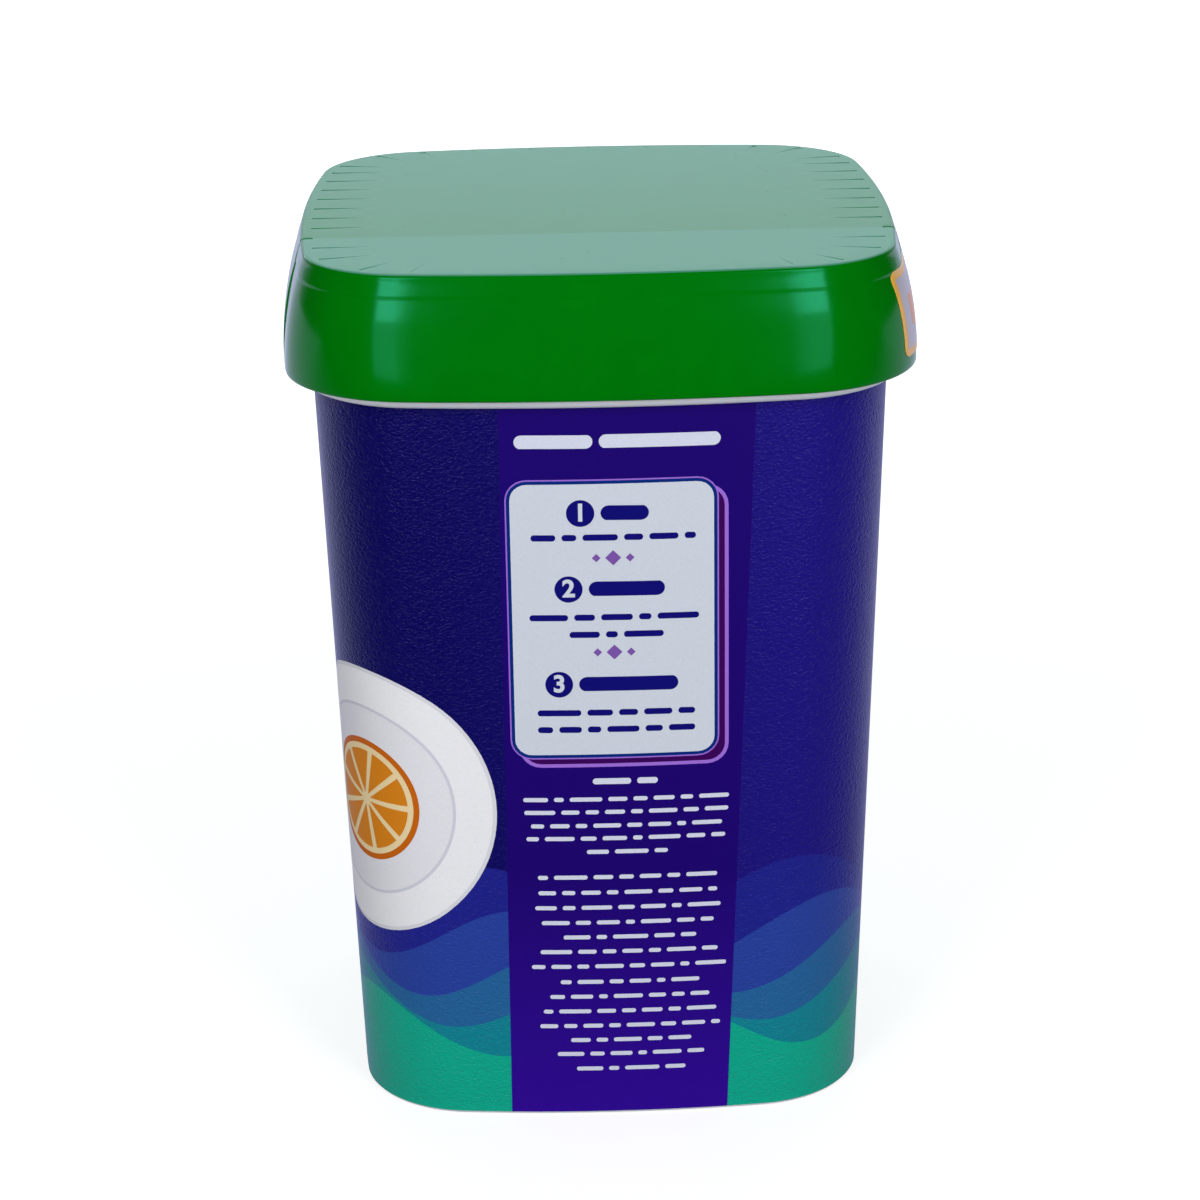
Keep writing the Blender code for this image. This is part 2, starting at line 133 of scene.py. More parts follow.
def round_outline(radius):
    """A circle with one point for each point of an outline, at the same bearing."""
    return [point.normalized() * radius for point in tub_outline(0)]


def laid_level(rings):
    """Turns rings of (outline, height) into loops of points."""
    return [[(point.x, point.y, height) for point in outline] for outline, height in rings]


def skin(loops, ends=True):
    """Skins loops of points in order, and closes the first and last, or else joins them to each other."""
    bm = bmesh.new()
    loops = [[bm.verts.new(point) for point in loop] for loop in loops]
    count = len(loops[0])
    for lower, upper in zip(loops, loops[1:] if ends else loops[1:] + loops[:1]):
        for i in range(count):
            j = (i + 1) % count
            bm.faces.new((lower[i], lower[j], upper[j], upper[i]))
    if ends:
        bm.faces.new(reversed(loops[0]))
        bm.faces.new(loops[-1])
    return bm


def finished(name, bm, material):
    """The bmesh as a smooth-shaded piece with its faces outwards and its real edges kept sharp."""
    bmesh.ops.recalc_face_normals(bm, faces=bm.faces)
    if all(edge.is_manifold for edge in bm.edges) and bm.calc_volume(signed=True) < 0:
        bmesh.ops.reverse_faces(bm, faces=bm.faces)
    mesh = bpy.data.meshes.new(name)
    bm.to_mesh(mesh)
    bm.free()
    mesh.materials.append(material)
    mesh.shade_smooth()
    mesh.set_sharp_from_angle(angle=math.radians(32))
    piece = bpy.data.objects.new(name, mesh)
    bpy.context.scene.collection.objects.link(piece)
    return piece


def colour(code):
    """An sRGB hex colour as linear red, green, blue and alpha."""
    parts = [int(code[i:i + 2], 16) / 255 for i in (1, 3, 5)]
    return (*[part / 12.92 if part <= 0.04045 else ((part + 0.055) / 1.055) ** 2.4 for part in parts], 1.0)


def set_inputs(tree, node, inputs):
    """Sets each input to a value, or links it to a socket or to the first output of another node."""
    for name, value in inputs.items():
        if isinstance(value, bpy.types.Node):
            value = value.outputs[0]
        if isinstance(value, bpy.types.NodeSocket):
            tree.links.new(value, node.inputs[name])
        else:
            node.inputs[name].default_value = value


def add_node(tree, kind, inputs=None, **settings):
    """Adds a node with its own settings and its inputs' values and links."""
    node = tree.nodes.new(kind)
    for name, value in settings.items():
        setattr(node, name, value)
    set_inputs(tree, node, inputs or {})
    return node


def mixed(tree, share, first, second):
    """The colour between two colours, or two sockets, by a share of 0 to 1."""
    return add_node(tree, "ShaderNodeMix", {0: share, 6: first, 7: second}, data_type="RGBA").outputs[2]


def new_material(name):
    """An empty Principled material, with its node tree, its shader and the Object coordinates."""
    material = bpy.data.materials.new(name)
    material.use_nodes = True
    tree = material.node_tree
    place = add_node(tree, "ShaderNodeTexCoord").outputs["Object"]
    return material, tree, tree.nodes["Principled BSDF"], place


def moulded_white_polypropylene():
    """Satin white polypropylene off a fine-stoned mould: a soft sheen, and a flow mottle barely there."""
    material, tree, shader, place = new_material("moulded_white_polypropylene")
    mottle = add_node(tree, "ShaderNodeTexNoise", {"Vector": place, "Scale": 1 / (22 * MM), "Detail": 3.0})
    tint = mixed(tree, mottle, *[colour(code) for code in WHITE_FLOW])
    stoned = add_node(tree, "ShaderNodeTexNoise", {"Vector": place, "Scale": 1 / (0.5 * MM), "Detail": 2.0})
    bump = add_node(tree, "ShaderNodeBump", {"Height": stoned, "Strength": 0.25, "Distance": 0.03 * MM})
    set_inputs(tree, shader, {"Base Color": tint, "Normal": bump, "Roughness": 0.42, "IOR": PLASTIC_IOR,
                              "Subsurface Weight": 0.12, "Subsurface Scale": 1.5 * MM})
    return material


collar_top = SHOULDER + COLLAR_FLARE + COLLAR_HEIGHT
tub_rings = [
    (round_outline(GATE_RADIUS - GATE_DEPTH), BASE_RECESS + GATE_DEPTH),
    (round_outline(GATE_RADIUS), BASE_RECESS),
    (tub_outline(0, 2 * (FOOT_EDGE + FOOT_RING)), BASE_RECESS),
]
for across, along in quarter_round():
    inset = FOOT_EDGE + FOOT_RING + BASE_RECESS / 2 * across
    tub_rings.append((tub_outline(0, inset), BASE_RECESS * (1 - along)))
for across, along in quarter_round():
    tub_rings.append((tub_outline(0, FOOT_EDGE * (1 - along)), FOOT_EDGE * (1 - across)))
for share in (0.02, 0.2, 0.4, 0.6, 0.8):
    tub_rings.append((tub_outline(SHOULDER * share), SHOULDER * share))
for across, along in quarter_round():
    tub_rings.append((neck_outline(-COLLAR_REACH * along), SHOULDER + COLLAR_FLARE * (1 - across)))
tub_rings += [
    (neck_outline(-COLLAR_REACH), collar_top),
    (neck_outline(COLLAR_BEVEL - COLLAR_REACH), collar_top + COLLAR_BEVEL),
    (neck_outline(), collar_top + COLLAR_BEVEL),
    (neck_outline(), BEAD_FOOT),
    (neck_outline(-BEAD_REACH), BEAD_FOOT + BEAD_SLOPE),
    (neck_outline(-BEAD_REACH), BEAD_FOOT + BEAD_SLOPE + BEAD_LAND),
    (neck_outline(), BEAD_FOOT + 2 * BEAD_SLOPE + BEAD_LAND),
]
lip = TUB_WALL / 2
for across, along in quarter_round():
    tub_rings.append((neck_outline(lip * (1 - across)), RIM_HEIGHT - lip * (1 - along)))
for across, along in reversed(quarter_round()):
    tub_rings.append((neck_outline(TUB_WALL - lip * (1 - across)), RIM_HEIGHT - lip * (1 - along)))
for share in (1.0, 0.75, 0.5, 0.25):
    tub_rings.append((tub_outline(SHOULDER * share, TUB_WALL), SHOULDER * share))
for across, along in quarter_round():
    height = BASE_RECESS + BASE_THICKNESS + FLOOR_FILLET * (1 - along)
    tub_rings.append((tub_outline(height, TUB_WALL + FLOOR_FILLET * (1 - across)), height))
tub_body = finished("tub_body", skin(laid_level(tub_rings)), moulded_white_polypropylene())
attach(tub_body, "container")
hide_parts("tub")

# The printed film. It lies in the mould when the tub is shot, so it is one with the wall and wraps all of it,
# from just above the foot to the collar. Waves of blue, slate, teal and green run round its foot.
FILM_FOOT = 0.9 * MM
FILM_TOP = SHOULDER - 0.1 * MM
FILM_LIFT = 0.06 * MM
FILM_COLUMNS = 480
CREASE_HEIGHT = 2.7 * MM
CREASE_HALF = 0.4 * MM
CREASE_SHARE = 0.9
WAVE_CRESTS = 6
# Each wave: its colour below the line, the line's mean height and swing in mm, and its start round the tub
WAVES = (
    ("#00A688", 25.0, 7.5, 0.10),
    ("#04808E", 33.0, 7.0, 0.26),
    ("#1E6096", 42.0, 7.5, 0.37),
    ("#223E98", 52.0, 8.0, 0.55),
    ("#181E86", 64.0, 8.5, 0.66),
)
# The ground's darker and brighter colours; the brighter side is partly print and partly painted light
GROUND_DARK = "#000054"
GROUND_LIGHT = "#180E7A"
# Rows of faces in the foot and the crease, in each wave, and in the ground at 12 mm each
FILM_ROWS = [1] * 4 + [2] * len(WAVES) + [int(FILM_TOP / (12 * MM))]


def wall_sections(height):
    """Lengths of one side and one quarter of the wall round the tub, and the corner arc's centre and angle."""
    corner, meet = corner_arc(tub_half(height), TUB_SIDE_RADIUS, tub_corner(height))
    side = 2 * TUB_SIDE_RADIUS * meet
    return side, side + tub_corner(height) * (math.pi / 2 - 2 * meet), corner, meet


def on_wall(along, height, lift):
    """The point on the wall this far round it from the middle of the rear side, stood off by lift."""
    side, quarter, corner, meet = wall_sections(height)
    turn = math.floor((along + side / 2) / quarter)
    rest = along - turn * quarter
    if rest <= side / 2:
        angle, radius, shift = rest / TUB_SIDE_RADIUS, TUB_SIDE_RADIUS, 0
        centre = tub_half(height) - TUB_SIDE_RADIUS
    else:
        angle, radius, shift = meet + (rest - side / 2) / tub_corner(height), tub_corner(height), corner
        centre = corner
    out = centre + (radius + lift) * math.cos(angle)
    across = shift + (radius + lift) * math.sin(angle)
    return Matrix.Rotation(turn * math.pi / 2, 3, "Z") @ Vector((across, -out, height))


def film_lift(height):
    """The film stands off by its lift, but dips in a crease where the wall runs into the foot."""
    return FILM_LIFT * (1 - CREASE_SHARE * math.exp(-((height - CREASE_HEIGHT) / CREASE_HALF) ** 2))


def grained_printed_film():
    """Gravure-printed polypropylene film off a leather-grained steel: the grain's slopes catch the light, and
    veil the wall with a lilac haze where it turns away."""
    material, tree, shader, place = new_material("grained_printed_film")
    ink = add_node(tree, "ShaderNodeAttribute", attribute_name="ink")
    mottle = add_node(tree, "ShaderNodeTexNoise", {"Vector": place, "Scale": 1 / (0.35 * MM), "Detail": 1.0})
    press = add_node(tree, "ShaderNodeMapRange", {"Value": mottle, "To Min": 0.86, "To Max": 1.14})
    printed = add_node(tree, "ShaderNodeVectorMath", {0: ink, "Scale": press}, operation="SCALE")
    # Leather grain of a little under 1 mm, laid a little across
    lay = add_node(tree, "ShaderNodeMapping", {"Vector": place, "Rotation": (0.3, 0.5, 0.2),
                                               "Scale": (1, 1, 1.35)})
    grain = add_node(tree, "ShaderNodeTexNoise", {"Vector": lay, "Scale": 1 / (0.85 * MM), "Detail": 1.5,
                                                  "Roughness": 0.4, "Distortion": 0.6})
    bump = add_node(tree, "ShaderNodeBump", {"Height": grain, "Strength": 1.0, "Distance": 0.34 * MM})
    set_inputs(tree, shader, {"Base Color": printed, "Normal": bump, "Roughness": 0.33, "IOR": PLASTIC_IOR,
                              "Specular IOR Level": 0.35, "Specular Tint": colour("#BCA8FF"),
                              "Sheen Weight": 0.45, "Sheen Roughness": 0.3, "Sheen Tint": colour("#A4A6FF")})
    return material


def film_heights(share):
    """Heights of the film's points at a share of the way round: its crease, its waves and up to its top."""
    lines = [FILM_FOOT, CREASE_HEIGHT - 2 * CREASE_HALF, CREASE_HEIGHT - CREASE_HALF / 2,
             CREASE_HEIGHT + CREASE_HALF / 2, CREASE_HEIGHT + 2 * CREASE_HALF]
    lines += [(level + swing * math.sin(2 * math.pi * (WAVE_CRESTS * share + start))) * MM
              for _, level, swing, start in WAVES]
    heights = []
    for low, high, count in zip(lines, lines[1:] + [FILM_TOP], FILM_ROWS):
        heights += [low + (high - low) * row / count for row in range(count)]
    return heights + [FILM_TOP]


def ground_ink_and_painted_light(share):
    """The ground over the waves brightens and darkens again twice on its way round, partly a print gradient
    and partly painted light: brighter at the rear's right corner, darker at its left.
    """
    bright = 0.5 + 0.5 * math.sin(4 * math.pi * share)
    return [dark + (light - dark) * bright for dark, light in zip(colour(GROUND_DARK), colour(GROUND_LIGHT))]


def make_film():
    """The film's mesh in columns round the tub, with the ink of each band on its faces' corners."""
    inks = [WAVES[0][0]] * 4 + [wave[0] for wave in WAVES]
    bands = [colour(ink) for ink, count in zip(inks, FILM_ROWS) for _ in range(count)]
    bm = bmesh.new()
    columns = []
    for column in range(FILM_COLUMNS):
        share = column / FILM_COLUMNS
        columns.append([bm.verts.new(on_wall(share * 4 * wall_sections(height)[1], height, film_lift(height)))
                        for height in film_heights(share)])
    layer = bm.loops.layers.float_color.new("ink")
    for column, left in enumerate(columns):
        right = columns[(column + 1) % FILM_COLUMNS]
        for row in range(len(left) - 1):
            face = bm.faces.new((left[row], right[row], right[row + 1], left[row + 1]))
            for loop in face.loops:
                share = (column + (loop.vert in (right[row], right[row + 1]))) / FILM_COLUMNS
                loop[layer] = bands[row] if row < len(bands) else ground_ink_and_painted_light(share)
    return finished("printed_film", bm, grained_printed_film())


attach(make_film(), "container")

# The directions panel. A violet stripe runs down the rear side, with a white card on it, outlined in navy and
# lavender over its own plum shadow. All of it is ink in the same film, over a smoother part of the mould.
STRIPE_LEFT = (-27.2, -26.0)
STRIPE_RIGHT = (29.9, 37.2)
STRIPE_ROWS = (FILM_FOOT, 50 * MM, 100 * MM, 150 * MM, FILM_TOP)
CARD = (-23.8, 104.1, 26.7, 176.6)
CARD_CORNER = 4.2
CARD_CORNER_STEPS = 6
NAVY_LINE = 0.85
LAVENDER_LINE = 0.36
SHADOW_SHIFT = (2.3, -2.2)
SHADOW_EDGE = 0.95
SLICE = 1.5 * MM
TALL_SLICE = 6 * MM
# How far each layer of ink stands off the wall, in mm
LIFTS = {"stripe": 0.09, "shadow line": 0.11, "shadow": 0.13, "lavender": 0.15, "navy": 0.17, "card": 0.19,
         "print": 0.22, "figure": 0.25}


def smooth_ink(name, code, roughness=0.38, painted_shade_foot_code=None):
    """Ink under the polished part of the mould: even and quiet, with a faint orange peel of about 2 mm. A foot
    colour, where one is given, paints shade in: lighter at the foot, darker up towards the lid.
    """
    material, tree, shader, place = new_material(name)
    press = add_node(tree, "ShaderNodeTexNoise", {"Vector": place, "Scale": 1 / (0.4 * MM), "Detail": 1.0})
    height = add_node(tree, "ShaderNodeSeparateXYZ", {"Vector": place}).outputs["Z"]
    # Painted shade: the ink darkens from its foot colour to its own colour over the lowest 70 mm
    painted_shade_fade = add_node(tree, "ShaderNodeMapRange", {"Value": height, "From Max": 70 * MM})
    base = mixed(tree, painted_shade_fade, colour(painted_shade_foot_code or code), colour(code))
    pressed = add_node(tree, "ShaderNodeMath", {0: press, 1: 0.15}, operation="MULTIPLY")
    ink = mixed(tree, pressed, base, (0, 0, 0, 1))
    peel = add_node(tree, "ShaderNodeTexNoise", {"Vector": place, "Scale": 1 / (2 * MM), "Detail": 1.0})
    bump = add_node(tree, "ShaderNodeBump", {"Height": peel, "Strength": 0.5, "Distance": 0.04 * MM})
    set_inputs(tree, shader, {"Base Color": ink, "Normal": bump, "Roughness": roughness, "IOR": PLASTIC_IOR,
                              "Specular IOR Level": 0.1})
    return material


def laid_on_wall(name, bm, lift, material):
    """Bends a flat print, drawn in the plane of X and Z, round the wall, in slices that follow its bow."""
    for axis, size in ((0, SLICE), (2, TALL_SLICE)):
        low = min(vert.co[axis] for vert in bm.verts)
        high = max(vert.co[axis] for vert in bm.verts)
        way = Vector((axis == 0, 0, axis == 2))
        for step in range(1, int((high - low) / size) + 1):
            geometry = bm.verts[:] + bm.edges[:] + bm.faces[:]
            bmesh.ops.bisect_plane(bm, geom=geometry, plane_co=way * (low + step * size), plane_no=way)
    for vert in bm.verts:
        vert.co = on_wall(vert.co.x, vert.co.z, lift * MM)
    piece = finished(name, bm, material)
    middle = piece.data.polygons[0]
    if middle.normal.dot(middle.center * Vector((1, 1, 0))) < 0:
        piece.data.flip_normals()
    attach(piece, "container")


def print_shapes(name, shapes, lift, ink):
    """Prints shapes in one ink, each a row of points across and up the wall in mm."""
    bm = bmesh.new()
    for points in shapes:
        bm.faces.new([bm.verts.new((x * MM, 0, z * MM)) for x, z in points])
    laid_on_wall(name, bm, lift, ink)


def arc_points(x, z, radius, start, steps, turn=360.0):
    """Points in equal steps of a turn round x and z, from a start in degrees; a part turn has both ends."""
    angles = [math.radians(start + turn * step / steps) for step in range(steps + (turn < 360))]
    return [(x + radius * math.cos(angle), z + radius * math.sin(angle)) for angle in angles]


def print_card_layer(name, grow, shift, layer, code):
    """One layer of the card: the card's round-cornered box, grown by the lines round it."""
    left, low, right, high = [edge + shift[i % 2] + (grow if i > 1 else -grow) for i, edge in enumerate(CARD)]
    radius = CARD_CORNER + grow
    points = []
    for x, z, start in ((right - radius, low + radius, -90), (right - radius, high - radius, 0),
                        (left + radius, high - radius, 90), (left + radius, low + radius, 180)):
        points += arc_points(x, z, radius, start, CARD_CORNER_STEPS, 90)
    print_shapes(name, [points], LIFTS[layer], smooth_ink(name + "_film_ink", code))


stripe = bmesh.new()
rows = []
for height in STRIPE_ROWS:
    ends = [foot + (top - foot) * height / FILM_TOP for foot, top in (STRIPE_LEFT, STRIPE_RIGHT)]
    rows.append([stripe.verts.new((x * MM, 0, height)) for x in ends])
for lower, upper in zip(rows, rows[1:]):
    stripe.faces.new((lower[0], lower[1], upper[1], upper[0]))
# Painted shade on the stripe: lighter violet at its foot, darker higher up under the lid
laid_on_wall("violet_stripe", stripe, LIFTS["stripe"],
             smooth_ink("violet_film_ink", "#1C0070", painted_shade_foot_code="#300496"))
print_card_layer("lavender_shadow_edge", NAVY_LINE + SHADOW_EDGE / 2, SHADOW_SHIFT, "shadow line", "#9C6CD8")
print_card_layer("plum_shadow", NAVY_LINE - SHADOW_EDGE / 2, SHADOW_SHIFT, "shadow", "#3A0058")
print_card_layer("lavender_outline", NAVY_LINE + LAVENDER_LINE, (0, 0), "lavender", "#9C6CD8")
print_card_layer("navy_outline", NAVY_LINE, (0, 0), "navy", "#02287A")
print_card_layer("white_card", 0, (0, 0), "card", "#CDD4E0")

# The print on the panel. Plain figures head three blocks of bars that stand for lines of type, with small
# diamonds between the blocks, all in navy and violet on the card and in white on the stripe.
FIGURE_SIZE = 4.6 * 1.38 * MM
FIGURE_WEIGHT = 0.2 * MM
BADGE_RADIUS = 3.5
BADGE_STEPS = 40
# Each heading: its figure, the middle of its badge, and the height of both
FIGURES = (("1", -6.4, 169.0), ("2", -9.6, 149.0), ("3", -12.4, 123.4))
DIAMOND_ROWS = (157.2, 132.0)
# Each diamond of a row: the place of its middle and half its width
DIAMONDS = ((1.6, 2.0), (-2.6, 1.1), (5.8, 1.1))
# Each line of bars: height of its middle, its left and right ends and the thickness of its bars, in mm
CARD_LINES = (
    (162.6, -18.8, 22.2, 1.7), (141.4, -19.5, 22.9, 1.7), (136.8, -9.6, 14.0, 1.7),
    (115.6, -18.0, 21.8, 1.7), (111.0, -18.0, 21.8, 1.7),
    (169.0, -1.4, 10.6, 4.0), (149.0, -4.6, 14.4, 4.0), (123.4, -7.4, 17.6, 4.0),
)
STRIPE_LINES = (
    (187.6, -22.4, 28.4, 3.6), (96.6, -4.4, 12.2, 1.7), (91.6, -22.2, 30.4, 1.2), (88.0, -22.0, 30.2, 1.2),
    (84.2, -20.4, 28.6, 1.2), (80.6, -21.6, 29.4, 1.2), (76.8, -6.2, 14.6, 1.2), (69.6, -18.9, 27.3, 1.2),
    (65.2, -18.9, 27.3, 1.2), (60.9, -19.8, 28.2, 1.2), (56.6, -18.2, 26.4, 1.2), (52.4, -12.6, 21.8, 1.2),
    (48.2, -18.7, 27.4, 1.2), (43.9, -21.0, 29.6, 1.2), (39.4, -13.6, 22.6, 1.2), (35.1, -16.4, 25.2, 1.2),
    (30.8, -18.2, 27.0, 1.2), (26.5, -19.2, 28.0, 1.2), (22.3, -11.2, 20.4, 1.2), (18.2, -14.8, 23.8, 1.2),
    (13.8, -9.8, 18.8, 1.2),
)
FINE_BAR = 1.2
SHORTEST_WORD = 1.2
WORD_LENGTHS = (5.2, 3.1, 7.4, 4.0, 6.1, 2.4, 8.0, 4.7, 3.5)
WORD_GAP = 1.5
# Bars thicker than this are headings, of one word on the card and of two in the title
HEADING_BAR = 3.0
TITLE_LENGTH = 30.0
TITLE_WORDS = (2.0, 3.1)
BAR_STEPS = 16


def words_of(line, first):
    """Middles and lengths of the bars that fill one line, taken in turn from the words and made to fit."""
    _, left, right, thick = line
    length = right - left
    lengths = []
    if thick > HEADING_BAR:
        lengths = [length] if length < TITLE_LENGTH else TITLE_WORDS
    else:
        word = WORD_LENGTHS[first % len(WORD_LENGTHS)]
        while sum(lengths) + WORD_GAP * len(lengths) < length - word / 2:
            lengths.append(word * (thick / FINE_BAR) ** 0.5)
            word = WORD_LENGTHS[(first + len(lengths)) % len(WORD_LENGTHS)]
    scale = (length - WORD_GAP * (len(lengths) - 1)) / sum(lengths)
    words = []
    for word in lengths:
        words.append((left + word * scale / 2, max(word * scale, SHORTEST_WORD * thick)))
        left += word * scale + WORD_GAP
    return words


def placing_tree(name, sizes):
    """A tree that takes places, named sizes and a material. Returns it and what its inputs give."""
    tree = bpy.data.node_groups.new(name, "GeometryNodeTree")
    tree.is_modifier = True
    for socket, kind in (("Places", "Geometry"), *sizes, ("Material", "Material")):
        tree.interface.new_socket(socket, in_out="INPUT", socket_type="NodeSocket" + kind)
    tree.interface.new_socket("Mesh", in_out="OUTPUT", socket_type="NodeSocketGeometry")
    return tree, add_node(tree, "NodeGroupInput").outputs


def bar_tree():
    """Puts a round-ended bar on each point: a disc as thick as the bar, pulled apart to the bar's length."""
    tree, given = placing_tree("bars_of_print", (("Thickness", "Float"), ("Round Steps", "Int")))
    radius = add_node(tree, "ShaderNodeMath", {0: given["Thickness"], 1: 0.5}, operation="MULTIPLY")
    disc = add_node(tree, "GeometryNodeMeshCircle", {"Vertices": given["Round Steps"], "Radius": radius},
                    fill_type="NGON")
    where = add_node(tree, "ShaderNodeSeparateXYZ", {"Vector": add_node(tree, "GeometryNodeInputPosition")})
    end = add_node(tree, "ShaderNodeMath", {0: where.outputs["X"]}, operation="SIGN")
    ends = add_node(tree, "GeometryNodeStoreNamedAttribute", {"Geometry": disc, "Name": "end", "Value": end})
    bars = add_node(tree, "GeometryNodeInstanceOnPoints", {"Points": given["Places"], "Instance": ends,
                                                           "Rotation": (math.pi / 2, 0, 0)})
    real = add_node(tree, "GeometryNodeRealizeInstances", {"Geometry": bars})
    stretch, side = [add_node(tree, "GeometryNodeInputNamedAttribute", {"Name": name})
                     for name in ("stretch", "end")]
    pull = add_node(tree, "ShaderNodeMath", {0: stretch, 1: side}, operation="MULTIPLY")
    shift = add_node(tree, "ShaderNodeCombineXYZ", {"X": pull})
    pulled = add_node(tree, "GeometryNodeSetPosition", {"Geometry": real, "Offset": shift})
    inked = add_node(tree, "GeometryNodeSetMaterial", {"Geometry": pulled, "Material": given["Material"]})
    add_node(tree, "NodeGroupOutput", {"Mesh": inked})
    return tree


def grow(bm, tree, spots, attributes, inputs):
    """Adds to bm what a tree grows on the spots, which carry attributes of (kind, values)."""
    places = bpy.data.meshes.new("places")
    places.from_pydata(spots, [], [])
    for name, (kind, values) in attributes.items():
        held = places.attributes.new(name, kind, "POINT").data
        held.foreach_set("value" if kind == "FLOAT" else "vector", values)
    source = bpy.data.objects.new("places", places)
    bpy.context.scene.collection.objects.link(source)
    modifier = source.modifiers.new("grow", "NODES")
    modifier.node_group = tree
    for socket in tree.interface.items_tree:
        if socket.name in inputs:
            modifier[socket.identifier] = inputs[socket.name]
    mesh = bpy.data.meshes.new_from_object(source.evaluated_get(bpy.context.evaluated_depsgraph_get()))
    source.modifiers.remove(modifier)
    bpy.data.objects.remove(source)
    bm.from_mesh(mesh)
    bpy.data.meshes.remove(mesh)


def print_lines(name, lines, ink):
    """All lines of bars of one ink, grown by thickness."""
    tree = bar_tree()
    bm = bmesh.new()
    for thick in sorted({line[3] for line in lines}):
        spots, stretches = [], []
        for number, line in enumerate(lines):
            if line[3] == thick:
                for middle, length in words_of(line, 2 * number):
                    spots.append((middle * MM, 0, line[0] * MM))
                    stretches.append((length - thick) / 2 * MM)
        grow(bm, tree, spots, {"stretch": ("FLOAT", stretches)},
             {"Thickness": thick * MM, "Round Steps": BAR_STEPS, "Material": ink})
    laid_on_wall(name, bm, LIFTS["print"], ink)


def print_figures(ink):
    """The three figures on their badges, set in the plain built-in type, a little heavier."""
    bm = bmesh.new()
    for text, middle, height in FIGURES:
        curve = bpy.data.curves.new("figure", "FONT")
        curve.body = text
        curve.align_x = "CENTER"
        curve.align_y = "CENTER"
        curve.size = FIGURE_SIZE
        curve.offset = FIGURE_WEIGHT
        source = bpy.data.objects.new("figure", curve)
        bpy.context.scene.collection.objects.link(source)
        mesh = bpy.data.meshes.new_from_object(source.evaluated_get(bpy.context.evaluated_depsgraph_get()))
        bpy.data.objects.remove(source)
        upright = Matrix.Rotation(math.pi / 2, 4, "X")
        mesh.transform(Matrix.Translation((middle * MM, 0, height * MM)) @ upright)
        bm.from_mesh(mesh)
        bpy.data.meshes.remove(mesh)
    bmesh.ops.remove_doubles(bm, verts=bm.verts, dist=0.01 * MM)
    laid_on_wall("white_figures", bm, LIFTS["figure"], ink)


navy_ink = smooth_ink("navy_film_ink", "#0B0872")
print_lines("navy_lines", CARD_LINES, navy_ink)
print_shapes("navy_badges", [arc_points(x, z, BADGE_RADIUS, 0, BADGE_STEPS) for _, x, z in FIGURES],
             LIFTS["print"], navy_ink)
print_figures(smooth_ink("card_film_ink", "#CDD4E0"))
print_shapes("violet_diamonds", [((x - half, z), (x, z - half), (x + half, z), (x, z + half))
                                 for z in DIAMOND_ROWS for x, half in DIAMONDS], LIFTS["print"],
             smooth_ink("purple_film_ink", "#7B52A8"))
print_lines("white_lines", STRIPE_LINES, smooth_ink("white_film_ink", "#D4D8EA"))

# The plate. A plain white plate with a round amber fruit slice on it is printed on the corner to the left of
# the stripe, a large flat picture in the same smooth ink.
PLATE_MIDDLE = (-66.0, 88.0)
PLATE_ROUGHNESS = 0.45
PLATE_STEPS = 72
# Each disc from the bottom up: its name, radius in mm and colour
PLATE_DISCS = (("plate_ring_1", 37.0, "#D9DAE2"), ("plate_ring_2", 36.0, "#EDEDF2"),
               ("plate_ring_3", 26.5, "#CFD1DC"), ("plate_ring_4", 25.7, "#E4E4EB"),
               ("slice_rind", 17.0, "#C8640A"), ("slice_pith", 15.4, "#EFD9A8"))
PLATE_LIFT = 0.09
DISC_LIFT = 0.03
SEGMENTS = 9
SEGMENT_GAP = 7.0
SEGMENT_TIP = 1.6
SEGMENT_RADIUS = 13.8
SEGMENT_STEPS = 8


def segment_points(number):
    """One round-backed wedge of the fruit slice."""
    sweep = 360 / SEGMENTS - SEGMENT_GAP
    start = number * 360 / SEGMENTS + SEGMENT_GAP / 2
    return (arc_points(*PLATE_MIDDLE, SEGMENT_TIP, start + sweep / 2, 1)
            + arc_points(*PLATE_MIDDLE, SEGMENT_RADIUS, start, SEGMENT_STEPS, sweep))


def print_on_plate(name, shapes, layer, code):
    ink = smooth_ink(name + "_film_ink", code, PLATE_ROUGHNESS)
    print_shapes(name, shapes, PLATE_LIFT + DISC_LIFT * layer, ink)


for layer, (name, radius, code) in enumerate(PLATE_DISCS):
    print_on_plate(name, [arc_points(*PLATE_MIDDLE, radius, 0, PLATE_STEPS)], layer, code)
print_on_plate("slice_segments", [segment_points(number) for number in range(SEGMENTS)],
               len(PLATE_DISCS), "#D98316")

# The lid's shell. Rear cover and flip lid come out of one mould in green polypropylene: a spark-eroded top
# with pleats pressed in round its edge, a rounded brow, and a flared glossy skirt with a faint sink line.
LID_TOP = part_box("flip_lid")[1].z
LID_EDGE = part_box("flip_lid")[0].z
LID_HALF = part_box("flip_lid")[1].x
LID_HEIGHT = LID_TOP - LID_EDGE
LID_WALL = 1.4 * MM
LID_UNDERSIDE = LID_TOP - LID_WALL
LID_FLARE = 5.9 * MM
LID_SIDE_RADIUS = 450 * MM
LID_EDGE_CORNER = 34.5 * MM
LID_TOP_CORNER = 28 * MM
BROW = 1.3 * MM
BROW_STEPS = 6
EDGE_STEPS = 3
HINGE_Y = frame["joints"][0]["pos_m"][1]
SEAM_HALF = 0.3 * MM
SEAM_ROUND = 0.3 * MM
SLOT_END = LID_HALF - LID_FLARE - 4.0 * MM
WEB_THICKNESS = 0.4 * MM
WEB_HALF = 1.25 * MM
SKIRT_ROWS = 20
SINK_ROWS = 9
SINK_HEIGHT = 224.6 * MM
SINK_HALF = 0.6 * MM
SINK_BAND = 2.5 * SINK_HALF
SINK_RUN = 6 * MM
